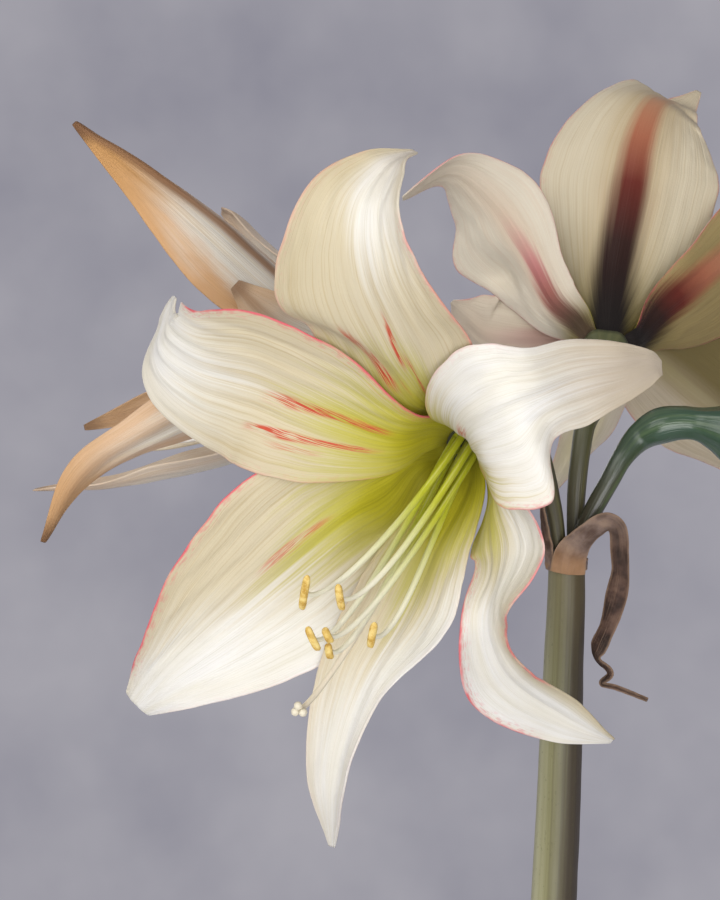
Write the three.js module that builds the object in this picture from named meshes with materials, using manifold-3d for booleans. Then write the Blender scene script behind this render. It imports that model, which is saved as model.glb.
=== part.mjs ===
// A potted amaryllis in bloom, in millimetres, with +Z up and the origin at the centre of the pot's base.
// X runs to the right of the front view, and Y runs away from it.
import * as THREE from 'three';
import Module from 'manifold-3d';
import { mergeVertices } from 'three/addons/utils/BufferGeometryUtils.js';

const wasm = await Module();
wasm.setup();

// Clearance between pieces that touch.
const GAP = 0.4;

// The pot, a plain tapered one with a band round its mouth.
const POT = { height: 130, baseRadius: 52, lipRadius: 72, wall: 5, floor: 6, band: 26, bandOut: 4, sides: 40 };

// The soil fills the pot up to here, with a slightly uneven top.
const SOIL = { top: 112, relief: 1.5, sides: 32 };

// The bulb's outline from its base to its neck, as radius and height, and the hollow round its shoots.
const BULB = {
  outline: [
    [0, 74], [20, 76], [34, 87], [41.5, 101], [42.5, 112], [39, 127], [29, 142], [21, 153], [18.5, 166],
  ],
  pocketRadius: 15.6,
  pocketFloor: 150,
  sides: 24,
};

// The scape, a thick stalk that leans a little to the right.
const SCAPE = {
  path: [
    [0, 0, 150.4], [5.6, 0, 300], [12, 0, 445], [13.4, 0, 489], [14.2, 0, 520], [14.9, 0, 545],
    [15, 0, 557],
  ],
  radii: [8.6, 8.2, 7.5, 7.1, 6.6, 6.1, 5.8],
  steps: 13,
  sides: 16,
};

// A blade's row: how far out, aside and forward its middle runs, its half widths to the left and the right,
// its roll in degrees and how far its edges lift inwards.
const LEAF = { thickness: 2, edge: 1.1, steps: 16, across: 4 };
const LEAVES = {
  leaf_left_long: {
    clock: 270,
    rows: [
      [10.9, 0, 0.5, 9, 9, 0, 4.7], [11.3, 0, 20, 10, 10, 0, 5], [16, 1, 55, 13, 13, 0, 4.5],
      [30, 4, 100, 16, 16, 4, 4], [55, 8, 140, 17, 17, 8, 3.5], [92, 12, 163, 15, 15, 10, 3],
      [128, 15, 158, 10, 10, 8, 2], [150, 17, 140, 1.5, 1.5, 0, 0],
    ],
  },
  leaf_right_long: {
    clock: 90,
    rows: [
      [10.9, 0, 0.5, 9, 9, 0, 4.7], [11.3, 0, 20, 10, 10, 0, 5], [15, 2, 52, 13, 13, 0, 4.5],
      [26, 6, 92, 15, 15, -4, 4], [47, 12, 130, 16, 16, -8, 3.5], [78, 18, 152, 14, 14, -8, 3],
      [110, 23, 150, 9, 9, -6, 2], [131, 26, 134, 1.5, 1.5, 0, 0],
    ],
  },
  leaf_left_short: {
    clock: 262,
    rows: [
      [13.5, 0, 0.5, 9, 9, 0, 3.8], [13.8, 0, 16, 10, 10, 0, 4], [20, -4, 36, 12, 12, 0, 4],
      [40, -12, 66, 15, 15, 0, 3.5], [70, -22, 88, 15, 15, 4, 3], [104, -32, 90, 11, 11, 6, 2],
      [131, -40, 73, 1.5, 1.5, 0, 0],
    ],
  },
  leaf_right_short: {
    clock: 96,
    rows: [
      [13.5, 0, 0.5, 9, 9, 0, 3.8], [13.8, 0, 16, 10, 10, 0, 4], [19, -5, 40, 12, 12, 0, 4],
      [36, -14, 74, 14, 14, 0, 3.5], [60, -26, 100, 14, 14, -4, 3], [88, -38, 106, 10, 10, -6, 2],
      [110, -47, 94, 1.5, 1.5, 0, 0],
    ],
  },
};

// The withered spathe: a collar round the top of the scape and two valves, with half widths and
// turns in degrees.
const SPATHE = {
  thickness: 0.8,
  collar: { centre: [14.9, 0], low: 553, high: 557, radius: 6.2 },
  long: {
    path: [
      [14.8, -7.1, 552.2], [15.6, -8.4, 558.6], [18, -10.5, 563.2], [21.8, -12.8, 567.3],
      [26, -14.8, 570.2], [29.4, -15.8, 568.3], [30.2, -16, 561.5], [30.5, -16, 553.5], [29, -16, 545],
      [26.3, -15.5, 536.4], [23.8, -15, 530], [23.3, -14.5, 526], [28, -14, 521.3], [25, -14, 517.8],
      [29.5, -14, 516.6], [40.3, -14, 512.4],
    ],
    widths: [5.8, 5.4, 4.4, 3.7, 3.4, 3, 2.9, 3.2, 3.4, 2.9, 2.8, 1.6, 1.3, 0.9, 0.9, 0.7],
    turns: [0, 0, 10, 15, 20, 15, 10, 5, 10, 30, 30, 60, 40, 20, 10, 0],
    steps: 24,
  },
  short: {
    path: [
      [8.6, -2.2, 553.5], [8.2, -4.2, 560], [7, -6, 567], [5.9, -7.5, 575.5],
    ],
    widths: [2.4, 2.2, 1.8, 0.9],
    turns: [-65, -55, -50, -45],
    steps: 6,
  },
};

// Every tepal is a thin blade. The outer three stand behind the inner three.
const TEPAL = { thickness: 0.8, wave: 0.9, waves: 2.5 };

// Outer tepals keep this far behind the inner ones, over their edges and fading out beside them.
const TUCK = { clearance: 3.2, fade: 10, reach: 15 };

// The six filaments' ends and the style's end, out, aside and forward of the throat, all drooping
// the same way, and the anthers' lengths.
const STAMEN = {
  ring: { inner: 2.7, outer: 4.9, low: 0.3, high: 2.1, sides: 9 },
  rootRadius: 3.8,
  rootClocks: [-150, -95, -45, 45, 95, 150],
  shoulder: [6, 0, 28],
  hook: [10, -7, -12],
  radii: [1.2, 0.7],
  anther: { width: 3, depth: 2.4 },
};
const STYLE = { radii: [1, 0.8], shoulder: [12, 0, 24], hook: [8, -3, -18], lobe: 1.5 };
const OPEN_STAMENS = {
  ends: [[20, 9, 70], [26, 7, 80], [28, -3, 69], [35, 6, 75], [31, 11, 78], [20, 18, 75]],
  lengths: [8.5, 5, 9, 5, 8, 12],
  style: [46, 6, 90],
};
const EVEN_STAMENS = {
  ends: [[16, -10, 72], [24, -8, 78], [32, -3, 80], [32, 5, 78], [25, 10, 80], [16, 12, 74]],
  lengths: [9, 9, 9, 9, 9, 9],
  style: [38, 1, 96],
};

// The four blooms of the umbel: the throat's place, where it faces, the stalk's way there, how far the ovary
// sags below the bloom's axis, and the tepals.
const BLOOMS = {
  front: {
    throat: [-20.5, -54, 600.4],
    axis: [-0.35, -0.86, -0.36],
    stalk: [[12.6, -2.4, 558.2], [9.9, -5, 574], [5.6, -9, 588], [1.5, -13, 600], [-3.5, -19.5, 609]],
    droop: 205,
    stamens: OPEN_STAMENS,
    steps: 16,
    across: 6,
    filament: { sides: 4, steps: 8 },
    tepals: [
      {
        clock: 0,
        rows: [
          [7, 0, 0, 3.2, 3.2, 0, 0.9], [13, -1, 12, 11, 11, 0, 3.5], [26, -2, 24, 22, 20, 0, 3],
          [48, -4, 35, 28, 23, 0, 4], [69, -8, 39, 26, 19, 0, 6], [87, -8, 36, 16, 14, 0, 6],
          [96, -3, 27, 8, 8, 0, 3], [98, 3, 19, 1, 1, 0, 0],
        ],
      },
      {
        clock: 60,
        rows: [
          [6, 0, 0, 3.2, 3.2, 0, 0.9], [12, -5, 20, 12, 9, -7, 3], [24, -11, 35, 18, 22, 10, 4],
          [39, -12, 41, 22, 27, 9, 0], [48, -10, 36, 15, 13, -5, -1], [56, -6, 26, 12, 12, -8, -1],
          [63, 0, 16, 9, 8, -9, 0], [67, 4, 8, 5, 5, -6, 0], [68, 7, 4, 2, 2, -10, 0],
        ],
      },
      {
        clock: 125,
        rows: [
          [7.4, -0.3, 0, 3, 3, 0, 0.9], [14, -4, 25, 13, 10, 0, 3], [26, 5, 34, 23, 12, -4, 4],
          [33, 24, 39, 8, 7, -4, 4], [48, 41, 34, 10, 12, 0, 4], [69, 50, 23, 8, 9, 7, 2],
          [87, 54, 14, 1, 1, 0, 0],
        ],
      },
      {
        clock: 185,
        rows: [
          [6, 0, 0, 3.2, 3.2, 0, 0.9], [12, -1, 11, 8, 8, 0, 3], [22, 3, 27, 12, 13, 0, 1],
          [37, 8, 40, 15, 16, 1, 2], [58, 18, 53, 7, 14, -3, 3], [89, 27, 56, 5, 8, -5, 3],
          [121, 32, 51, 1, 1, 0, 0],
        ],
      },
      {
        clock: 240,
        rows: [
          [7, 0, 0, 3.2, 3.2, 0, 0.9], [11, 3, 11, 10, 9, 0, 3], [20, 5, 23, 19, 20, -3, 2],
          [39, 5, 37, 30, 29, -4, 6], [71, 1, 49, 26, 23, -2, 5], [101, -4, 54, 15, 11, -1, 3],
          [122, -10, 53, 5, 5, -9, -1],
        ],
      },
      {
        clock: 300,
        rows: [
          [6, -0.6, 0, 3, 2.8, 0, 0.9], [10, 3, 10, 7, 7, -2, 1], [18, 4, 24, 12, 11, -11, 2],
          [38, 4, 29, 21, 20, -14, 6], [60, 2, 29, 25, 23, -5, 6], [80, -7, 23, 23, 17, -1, 2],
          [94, -11, 15, 18, 15, -3, 0], [98, -7, 8, 7, 8, -10, 0], [99, -1, 6, 1, 1, -15, 0],
        ],
      },
    ],
  },
  left: {
    throat: [-42, 23, 616],
    axis: [-0.93, 0.25, 0.12],
    stalk: [[12.6, 2.4, 558.2], [10.5, 6, 575], [6.9, 9, 590], [2.5, 11.5, 602], [-4, 13.3, 609.5]],
    droop: 180,
    stamens: EVEN_STAMENS,
    steps: 12,
    across: 4,
    filament: { sides: 4, steps: 6 },
    tepals: [
      {
        clock: 90,
        rows: [
          [7, -0.5, 0, 2.8, 2.8, 0, 0.9], [14, -1, 4, 8, 8, 0, 3], [24, -5, 9, 13, 13, 0, 4],
          [32, -7, 16, 15, 15, 0, 4], [40, -14, 30, 11, 11, 0, 3], [42, -25, 45, 2, 2, 0, 0],
        ],
      },
      {
        clock: 120,
        rows: [
          [6, 1.6, 0, 2.8, 2.6, 0, 0.9], [15, -1, 12, 8, 8.5, 0, 4], [27, -6, 25, 11, 12, 0, 5],
          [48, -9, 50, 9, 14, 0, 6], [62, -3, 69, 6, 11, 0, 5], [74, 6, 83, 5, 6, 0, 3],
          [87, 24, 93, 1, 1, 0, 0],
        ],
      },
      {
        clock: 185,
        rows: [
          [7, 1, 0, 3, 3, 0, 0.9], [15, 0, 12, 9, 9, 0, 4], [26, 0, 28, 13, 13, 0, 5],
          [39, -2, 54, 13, 13, 0, 6], [48, -5, 78, 10, 10, 0, 5], [54, -8, 99, 6, 6, 0, 3],
          [58, -10, 123, 1, 1, 0, 0],
        ],
      },
      {
        clock: 250,
        rows: [
          [6, 0.5, 0, 3, 3, 0, 0.9], [14, 2, 11, 8, 8, 0, 4], [22, -1, 25, 12, 12, 0, 5],
          [30, -4, 39, 13, 13, 0, 6], [32, -11, 68, 11, 11, 0, 5], [30, -19, 92, 6, 6, 0, 3],
          [26, -30, 114, 1, 1, 0, 0],
        ],
      },
      {
        clock: 320,
        rows: [
          [7, 0, 0, 3.2, 3.2, 0, 0.9], [14, -3, 7, 8, 8, 0, 4], [24, -8, 20, 11, 11, 0, 5],
          [36, -10, 35, 13, 13, 0, 6], [49, -7, 58, 11, 11, 0, 5], [58, -3, 72, 7, 7, 0, 3],
          [60, -1, 80, 2, 2, 0, 0],
        ],
      },
      {
        clock: 40,
        rows: [
          [6, -1, 0, 2.8, 2.8, 0, 0.9], [14, 0, 13, 8, 8, 0, 4], [28, 3, 25, 11, 15, 0, 7],
          [42, 1, 40, 11, 20, 0, 9], [56, -3, 58, 9, 18, 0, 8], [70, -8, 82, 5, 10, 0, 5],
          [80, -13, 106, 1, 1, 0, 0],
        ],
      },
    ],
  },
  back: {
    throat: [32, 44, 622],
    axis: [0.18, 0.86, 0.46],
    stalk: [[17.4, 2.4, 558.2], [18, 4, 568], [18.6, 5.8, 579], [19.9, 8, 590], [22, 11.2, 600]],
    droop: 180,
    stamens: EVEN_STAMENS,
    steps: 12,
    across: 4,
    filament: { sides: 4, steps: 6 },
    tepals: [
      {
        clock: 45,
        rows: [
          [7, 0, 0, 3.2, 3.2, 0, 0.9], [12, 3, 8, 7, 9, 10, 2], [21, 6, 16, 9, 15, 9, 3],
          [31, 5, 24, 10, 23, 5, 4], [45, 2, 30, 14, 30, 0, 5], [59, 0, 33, 14, 20, 1, 5],
          [76, 1, 32, 8, 9, -1, 1], [85, 15, 19, 1, 1, -12, 0],
        ],
      },
      {
        clock: 108,
        rows: [
          [6, 0, 0, 3, 3, 0, 0.9], [12, 0, 10, 8, 9, -12, 3], [19, 0, 18, 13, 15, -14, 4],
          [34, 0, 26, 19, 17, -17, 5], [47, -4, 29, 22, 16, -18, 6], [53, -12, 33, 10, 9, -20, 3],
          [56, -18, 35, 1, 1, 0, 0],
        ],
      },
      {
        clock: 172,
        rows: [
          [7, 0, 0, 3.2, 3.2, 0, 0.9], [13, 0, 4, 6, 9, 0, 5], [22, -1, 7, 9, 11, -5, 5],
          [37, -3, 8, 9, 10, 1, 5], [48, -7, 7, 6, 7, 4, 4], [57, -11, 4, 3, 4, 8, 3],
          [64, -13, 1, 1, 1, 10, 0],
        ],
      },
      {
        clock: 230,
        rows: [
          [6, 0, 0, 3.2, 3.2, 0, 0.9], [11, -1, 12, 10, 10, 4, 3], [21, -3, 22, 17, 17, 8, 3],
          [41, -8, 30, 24, 22, 9, 4], [64, -11, 32, 24, 18, 6, 4], [81, -16, 27, 12, 11, 2, 3],
          [92, -20, 21, 1, 1, 0, 0],
        ],
      },
      {
        clock: 292,
        rows: [
          [7, 0, 0, 3.2, 3.2, 0, 0.9], [12, -2, 8, 9, 5, -2, 3], [21, -1, 19, 19, 7, -1, 3],
          [33, -2, 34, 25, 11, -3, 3], [47, -3, 51, 25, 14, -1, 5], [59, -3, 66, 18, 11, 0, 3],
          [68, -4, 68, 1, 1, -3, 0],
        ],
      },
      {
        clock: -12,
        rows: [
          [6, 0, 0, 3.2, 3.2, 0, 0.9], [10, 1, 13, 13, 13, 0, 5], [18, 2, 32, 25, 22, 0, 8],
          [34, 2, 54, 31, 32, 0, 9], [47, 2, 71, 30, 30, 0, 9], [54, -1, 88, 22, 21, -9, 5],
          [51, -6, 100, 15, 16, -22, 1], [46, -12, 108, 6, 7, -5, 0], [49, -17, 118, 1, 1, 0, 0],
        ],
      },
    ],
  },
  right: {
    throat: [68, -1.8, 598.2],
    axis: [0.93, -0.2, -0.27],
    sag: 11,
    stalk: [[17.4, -2.4, 558.2], [20, -2.2, 566.3], [24.2, -1.5, 574.4], [28.6, -0.3, 582], [33, 1.5, 589.5]],
    droop: 180,
    stamens: EVEN_STAMENS,
    steps: 12,
    across: 4,
    filament: { sides: 4, steps: 6 },
    tepals: [],
  },
};

// The right bloom's tepals are one outer and one inner shape, set round the throat with a little wander.
const OUTER_ROWS = [
  [7, 0, 0, 3.2, 3.2, 0, 0.9], [13, 0, 10, 10, 10, 0, 4], [23, 0, 24, 18, 18, 0, 6], [38, 0, 40, 24, 24, 0, 7],
  [54, 0, 54, 22, 22, 0, 6], [74, 0, 54, 13, 13, 0, 4], [88, 0, 47, 1, 1, 0, 0],
];
const INNER_ROWS = [
  [6, 0, 0, 3.2, 3.2, 0, 0.9], [12, 0, 11, 9, 9, 0, 3], [21, 0, 26, 14, 14, 0, 4], [35, 0, 43, 19, 19, 0, 5],
  [50, 0, 58, 18, 18, 0, 5], [72, 0, 60, 10, 10, 0, 3], [88, 0, 54, 1, 1, 0, 0],
];
const RIGHT_CLOCKS = [20, 80, 140, 200, 260, 320];
BLOOMS.right.tepals = RIGHT_CLOCKS.map((clock, i) => ({ clock, rows: i % 2 ? INNER_ROWS : OUTER_ROWS }));

// The stalk's last stretch, by how far it lies behind the throat: the swollen ovary, the neck and the tube.
const OVARY = { behind: [31, 24, 17, 11, 5, 0.9], radii: [4.6, 6, 5.5, 5.4, 7.4, 9.4] };
const PEDICEL_RADII = [2.2, 2.8, 3.1, 3.2, 3.5];
const STALK = { steps: 16, sides: 8 };

const COLOURS = {
  pot: 0xb5683f, soil: 0x33271e, bulb: 0x7b4a24, scape: 0x8f9c63, leaf: 0x4f7a35, spathe: 0x7a4a31,
  stalk: 0x4c5f38, tepal: 0xe9e4d2, fading: 0xd9b48a, stamen: 0xdfe0b0, pistil: 0xeeebdc,
};

// A uniform spline through rows of numbers, with t from 0 to 1.
function alongRows(rows, t) {
  const last = rows.length - 1;
  const i = Math.min(Math.floor(t * last), last - 1);
  const f = t * last - i;
  const b = rows[i];
  const c = rows[i + 1];
  const a = rows[i - 1] ?? b.map((value, k) => 2 * value - c[k]);
  const d = rows[i + 2] ?? c.map((value, k) => 2 * value - b[k]);
  return b.map((value, k) => 0.5 * (2 * value + (c[k] - a[k]) * f
    + (2 * a[k] - 5 * value + 4 * c[k] - d[k]) * f ** 2 + (3 * value - a[k] - 3 * c[k] + d[k]) * f ** 3));
}

// The frame of a bloom or a shoot: its origin, its axis, the way up across the axis and the way to the right.
function frameOf(origin, axis, upwards = [0, 0, 1]) {
  const ahead = new THREE.Vector3(...axis).normalize();
  const up = new THREE.Vector3(...upwards);
  up.addScaledVector(ahead, -up.dot(ahead)).normalize();
  const right = new THREE.Vector3().crossVectors(up, ahead);
  return { origin: new THREE.Vector3(...origin), ahead, up, right };
}

// The outward and sideways directions at a clock angle, 0 being up and 90 to the right.
function directionsAt(frame, clock) {
  const angle = THREE.MathUtils.degToRad(clock);
  const out = frame.up.clone().multiplyScalar(Math.cos(angle)).addScaledVector(frame.right, Math.sin(angle));
  const side = frame.up.clone().multiplyScalar(-Math.sin(angle));
  side.addScaledVector(frame.right, Math.cos(angle));
  return { out, side };
}

function pointIn(frame, { out, side }, [outwards, aside, forward]) {
  return frame.origin.clone().addScaledVector(out, outwards).addScaledVector(side, aside)
    .addScaledVector(frame.ahead, forward);
}

// The grid of points of a blade's middle surface, from its base to its tip and from its left edge to its right.
function bladeGrid(frame, { clock, rows, wave = { height: 0, count: 0, phase: 0 } }, steps, across) {
  const directions = directionsAt(frame, clock);
  const middle = (t) => pointIn(frame, directions, alongRows(rows, THREE.MathUtils.clamp(t, 0, 1)));
  const grid = [];
  for (let i = 0; i <= steps; i++) {
    const t = i / steps;
    const [, , , left, right, roll, cup] = alongRows(rows, t);
    const along = middle(t + 1e-3).sub(middle(t - 1e-3)).normalize();
    const sideways = directions.side.clone().addScaledVector(along, -directions.side.dot(along)).normalize();
    sideways.applyAxisAngle(along, THREE.MathUtils.degToRad(-roll));
    const inwards = new THREE.Vector3().crossVectors(sideways, along);
    const line = [];
    for (let j = 0; j <= across; j++) {
      const v = 2 * j / across - 1;
      const phase = wave.phase * (v > 0 ? 1 : 2);
      const ripple = wave.height * Math.abs(v) ** 3 * Math.sin(2 * Math.PI * wave.count * t + phase)
        * Math.sin(Math.PI * t);
      line.push(middle(t).addScaledVector(sideways, v * (v > 0 ? right : left))
        .addScaledVector(inwards, cup * v * v + ripple));
    }
    grid.push(line);
  }
  return grid;
}

// The normal of a grid at a point, towards the inner face.
function normalAt(grid, i, j) {
  const at = (k, m) => {
    const line = grid[THREE.MathUtils.clamp(k, 0, grid.length - 1)];
    return line[THREE.MathUtils.clamp(m, 0, line.length - 1)];
  };
  const sideways = at(i, j + 1).clone().sub(at(i, j - 1));
  const along = at(i + 1, j).clone().sub(at(i - 1, j));
  return sideways.cross(along).normalize();
}

// An outer tepal's grid, moved behind an inner neighbour wherever it would cross it or come too close.
function tuckedBehind(grid, neighbour) {
  const triangles = [];
  for (let i = 0; i < neighbour.length - 1; i++) {
    for (let j = 0; j < neighbour[0].length - 1; j++) {
      const corners = [[i, j], [i, j + 1], [i + 1, j + 1], [i + 1, j]];
      for (const spots of [[0, 1, 2], [0, 2, 3]]) {
        triangles.push({
          face: new THREE.Triangle(...spots.map((k) => neighbour[corners[k][0]][corners[k][1]])),
          normals: spots.map((k) => normalAt(neighbour, ...corners[k])),
        });
      }
    }
  }
  const spot = new THREE.Vector3();
  return grid.map((line, row) => line.map((point) => {
    if (row === 0) return point;
    let nearest = { distance: Infinity };
    for (const { face, normals } of triangles) {
      face.closestPointToPoint(point, spot);
      const distance = spot.distanceTo(point);
      if (distance < nearest.distance) nearest = { distance, face, normals, spot: spot.clone() };
    }
    if (nearest.distance > TUCK.reach) return point;
    const { a, b, c } = nearest.face;
    const normal = new THREE.Vector3();
    THREE.Triangle.getInterpolation(nearest.spot, a, b, c, ...nearest.normals, normal);
    normal.normalize();
    const offset = point.clone().sub(nearest.spot);
    const ahead = offset.dot(normal);
    const beside = Math.sqrt(Math.max(0, offset.lengthSq() - ahead ** 2));
    const share = THREE.MathUtils.clamp(1 - beside / TUCK.fade, 0, 1);
    return point.clone().addScaledVector(normal, -share * Math.max(0, ahead + TUCK.clearance));
  }));
}

// A closed sheet round a grid of points, thick in the middle and thinner at its side edges.
function sheetOf(grid, thickness, edge = thickness) {
  const steps = grid.length - 1;
  const across = grid[0].length - 1;
  const positions = [];
  const stride = (steps + 1) * (across + 1);
  for (const face of [0.5, -0.5]) {
    for (let i = 0; i <= steps; i++) {
      for (let j = 0; j <= across; j++) {
        const v = Math.abs(2 * j / across - 1);
        const offset = face * THREE.MathUtils.lerp(thickness, edge, v ** 2);
        const point = grid[i][j].clone().addScaledVector(normalAt(grid, i, j), offset);
        positions.push(point.x, point.y, point.z);
      }
    }
  }
  const index = [];
  const spot = (i, j) => i * (across + 1) + j;
  const quad = (a, b, c, d) => index.push(a, b, c, a, c, d);
  for (let i = 0; i < steps; i++) {
    for (let j = 0; j < across; j++) {
      const [a, b, c, d] = [spot(i, j), spot(i, j + 1), spot(i + 1, j + 1), spot(i + 1, j)];
      index.push(a, b, c, a, c, d);
      index.push(a + stride, c + stride, b + stride, a + stride, d + stride, c + stride);
    }
    quad(spot(i, 0), spot(i + 1, 0), spot(i + 1, 0) + stride, spot(i, 0) + stride);
    quad(spot(i + 1, across), spot(i, across), spot(i, across) + stride, spot(i + 1, across) + stride);
  }
  for (let j = 0; j < across; j++) {
    quad(spot(0, j + 1), spot(0, j), spot(0, j) + stride, spot(0, j + 1) + stride);
    quad(spot(steps, j), spot(steps, j + 1), spot(steps, j + 1) + stride, spot(steps, j) + stride);
  }
  return geometryOf(positions, index);
}

function geometryOf(positions, index) {
  const geometry = new THREE.BufferGeometry();
  geometry.setAttribute('position', new THREE.Float32BufferAttribute(positions, 3));
  geometry.setIndex(index);
  return geometry;
}

// A closed rod along a curve, with a radius for each of its points.
function rodOf(points, radii, steps, sides) {
  const curve = new THREE.CatmullRomCurve3(points, false, 'centripetal');
  const frames = curve.computeFrenetFrames(steps, false);
  const positions = [];
  const index = [];
  const radiusRows = radii.map((radius) => [radius]);
  const spots = lengthsAlong(points);
  for (let i = 0; i <= steps; i++) {
    const centre = curve.getPointAt(i / steps);
    const [radius] = alongRows(radiusRows, rowAt(spots, i / steps));
    for (let k = 0; k < sides; k++) {
      const angle = 2 * Math.PI * k / sides;
      const point = centre.clone().addScaledVector(frames.normals[i], radius * Math.cos(angle))
        .addScaledVector(frames.binormals[i], radius * Math.sin(angle));
      positions.push(point.x, point.y, point.z);
    }
  }
  for (let i = 0; i < steps; i++) {
    for (let k = 0; k < sides; k++) {
      const a = i * sides + k;
      const b = i * sides + (k + 1) % sides;
      index.push(a, b, b + sides, a, b + sides, a + sides);
    }
  }
  const top = steps * sides;
  for (let k = 1; k < sides - 1; k++) {
    index.push(0, k + 1, k);
    index.push(top, top + k, top + k + 1);
  }
  return geometryOf(positions, index);
}

// How far along a line of points each of them lies, from 0 to 1.
function lengthsAlong(points) {
  const lengths = [0];
  for (let i = 1; i < points.length; i++) lengths.push(lengths[i - 1] + points[i].distanceTo(points[i - 1]));
  return lengths.map((length) => length / lengths[points.length - 1]);
}

// Where a share of the length falls among the rows, from 0 at the first row to 1 at the last.
function rowAt(spots, share) {
  const last = spots.length - 1;
  let i = 0;
  while (i < last - 1 && spots[i + 1] < share) i++;
  return (i + (share - spots[i]) / (spots[i + 1] - spots[i])) / last;
}

// A lathed body from points of radius and height, in order up its outside.
function turned(outline, sides) {
  const points = outline.map(([radius, height]) => new THREE.Vector2(radius, height));
  return new THREE.LatheGeometry(points, sides).rotateX(Math.PI / 2);
}

// Solids are joined and cut as closed bodies whose shared vertices are merged.
function solidOf(geometry) {
  const bare = geometry.clone();
  bare.deleteAttribute('normal');
  bare.deleteAttribute('uv');
  const merged = mergeVertices(bare, 1e-4);
  return new wasm.Manifold(new wasm.Mesh({
    numProp: 3,
    vertProperties: new Float32Array(merged.attributes.position.array),
    triVerts: new Uint32Array(merged.index.array),
  }));
}

function joined(geometries) {
  const solid = geometries.map(solidOf).reduce((sum, next) => sum.add(next));
  const { vertProperties, triVerts } = solid.getMesh();
  return geometryOf(Array.from(vertProperties), Array.from(triVerts));
}

function vectors(points) {
  return points.map((point) => new THREE.Vector3(...point));
}

function potShape() {
  const { height, baseRadius, lipRadius, wall, floor, band, bandOut } = POT;
  const radiusAt = (z) => THREE.MathUtils.lerp(baseRadius, lipRadius, z / height);
  return turned([
    [0, 0], [baseRadius - 1.5, 0], [baseRadius, 1.5], [radiusAt(height - band), height - band],
    [radiusAt(height - band) + bandOut, height - band + 1], [lipRadius + bandOut, height - 1.5],
    [lipRadius + bandOut - 1.5, height], [lipRadius - wall + 1.5, height], [lipRadius - wall, height - 1.5],
    [baseRadius - wall, floor], [0, floor],
  ], POT.sides);
}

// The soil's top rises and falls by a few low waves, which fade out at the pot and at the bulb.
function soilShape() {
  const bottom = POT.floor + GAP;
  const innerRadius = (z) => THREE.MathUtils.mapLinear(
    z, POT.floor, POT.height, POT.baseRadius - POT.wall, POT.lipRadius - POT.wall) - GAP;
  const buried = BULB.outline.filter(([, z]) => z < SOIL.top);
  const socket = buried.map(([radius, z]) => [radius && radius + GAP, z - GAP]);
  const atBulb = BULB.outline.find(([, z]) => z === SOIL.top)[0] + GAP;
  const outer = innerRadius(SOIL.top);
  const top = [0, 1, 2, 3, 4].map((k) => [THREE.MathUtils.lerp(outer, atBulb, k / 4), SOIL.top]);
  const geometry = turned(
    [[0, bottom], [innerRadius(bottom), bottom], ...top, ...socket.reverse()], SOIL.sides);
  const position = geometry.attributes.position;
  for (let i = 0; i < position.count; i++) {
    if (position.getZ(i) !== SOIL.top) continue;
    const x = position.getX(i);
    const y = position.getY(i);
    const share = (Math.hypot(x, y) - atBulb) / (outer - atBulb);
    const bump = Math.sin(x * 0.21) * Math.cos(y * 0.17) + 0.6 * Math.sin(x * 0.11 - y * 0.25);
    position.setZ(i, SOIL.top + SOIL.relief * bump * Math.sin(Math.PI * THREE.MathUtils.clamp(share, 0, 1)));
  }
  return geometry;
}

function bulbShape() {
  const { outline, pocketRadius, pocketFloor } = BULB;
  const [neckRadius, neckTop] = outline[outline.length - 1];
  return turned([
    ...outline, [(neckRadius + pocketRadius) / 2, neckTop + 1], [pocketRadius, neckTop],
    [pocketRadius, pocketFloor], [0, pocketFloor],
  ], BULB.sides);
}

function leafShape(leaf) {
  const neck = frameOf([0, 0, BULB.pocketFloor], [0, 0, 1], [0, 1, 0]);
  return sheetOf(bladeGrid(neck, leaf, LEAF.steps, LEAF.across), LEAF.thickness, LEAF.edge);
}

// A twisted ribbon: its width lies across the front view, turned about its own line.
function ribbonShape({ path, widths, turns, steps }) {
  const curve = new THREE.CatmullRomCurve3(vectors(path), false, 'centripetal');
  const spots = lengthsAlong(vectors(path));
  const shape = path.map((_, i) => [widths[i], turns[i]]);
  const away = new THREE.Vector3(0, 1, 0);
  const grid = [];
  for (let i = 0; i <= steps; i++) {
    const share = i / steps;
    const [width, turn] = alongRows(shape, rowAt(spots, share));
    const along = curve.getTangentAt(share);
    const across = new THREE.Vector3().crossVectors(along, away).normalize();
    across.applyAxisAngle(along, THREE.MathUtils.degToRad(turn));
    const centre = curve.getPointAt(share);
    grid.push([-1, 0, 1].map((v) => centre.clone().addScaledVector(across, v * width)));
  }
  return sheetOf(grid, SPATHE.thickness);
}

function spatheShape() {
  const { centre, low, high, radius } = SPATHE.collar;
  const outer = radius + SPATHE.thickness;
  const section = [[radius, low], [outer, low], [outer, high], [radius, high], [radius, low]];
  const collar = turned(section, SCAPE.sides);
  collar.translate(...centre, 0);
  return joined([collar, ribbonShape(SPATHE.long), ribbonShape(SPATHE.short)]);
}

function scapeShape() {
  return rodOf(vectors(SCAPE.path), SCAPE.radii, SCAPE.steps, SCAPE.sides);
}

function stalkShape(bloom) {
  const frame = frameOf(bloom.throat, bloom.axis);
  const ovary = OVARY.behind.map((behind) => {
    const place = frame.origin.clone().addScaledVector(frame.ahead, -behind);
    place.z -= (bloom.sag ?? 0) * (behind / OVARY.behind[0]) ** 3;
    return place;
  });
  const radii = [...PEDICEL_RADII, ...OVARY.radii];
  return rodOf([...vectors(bloom.stalk), ...ovary], radii, STALK.steps, STALK.sides);
}

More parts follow.
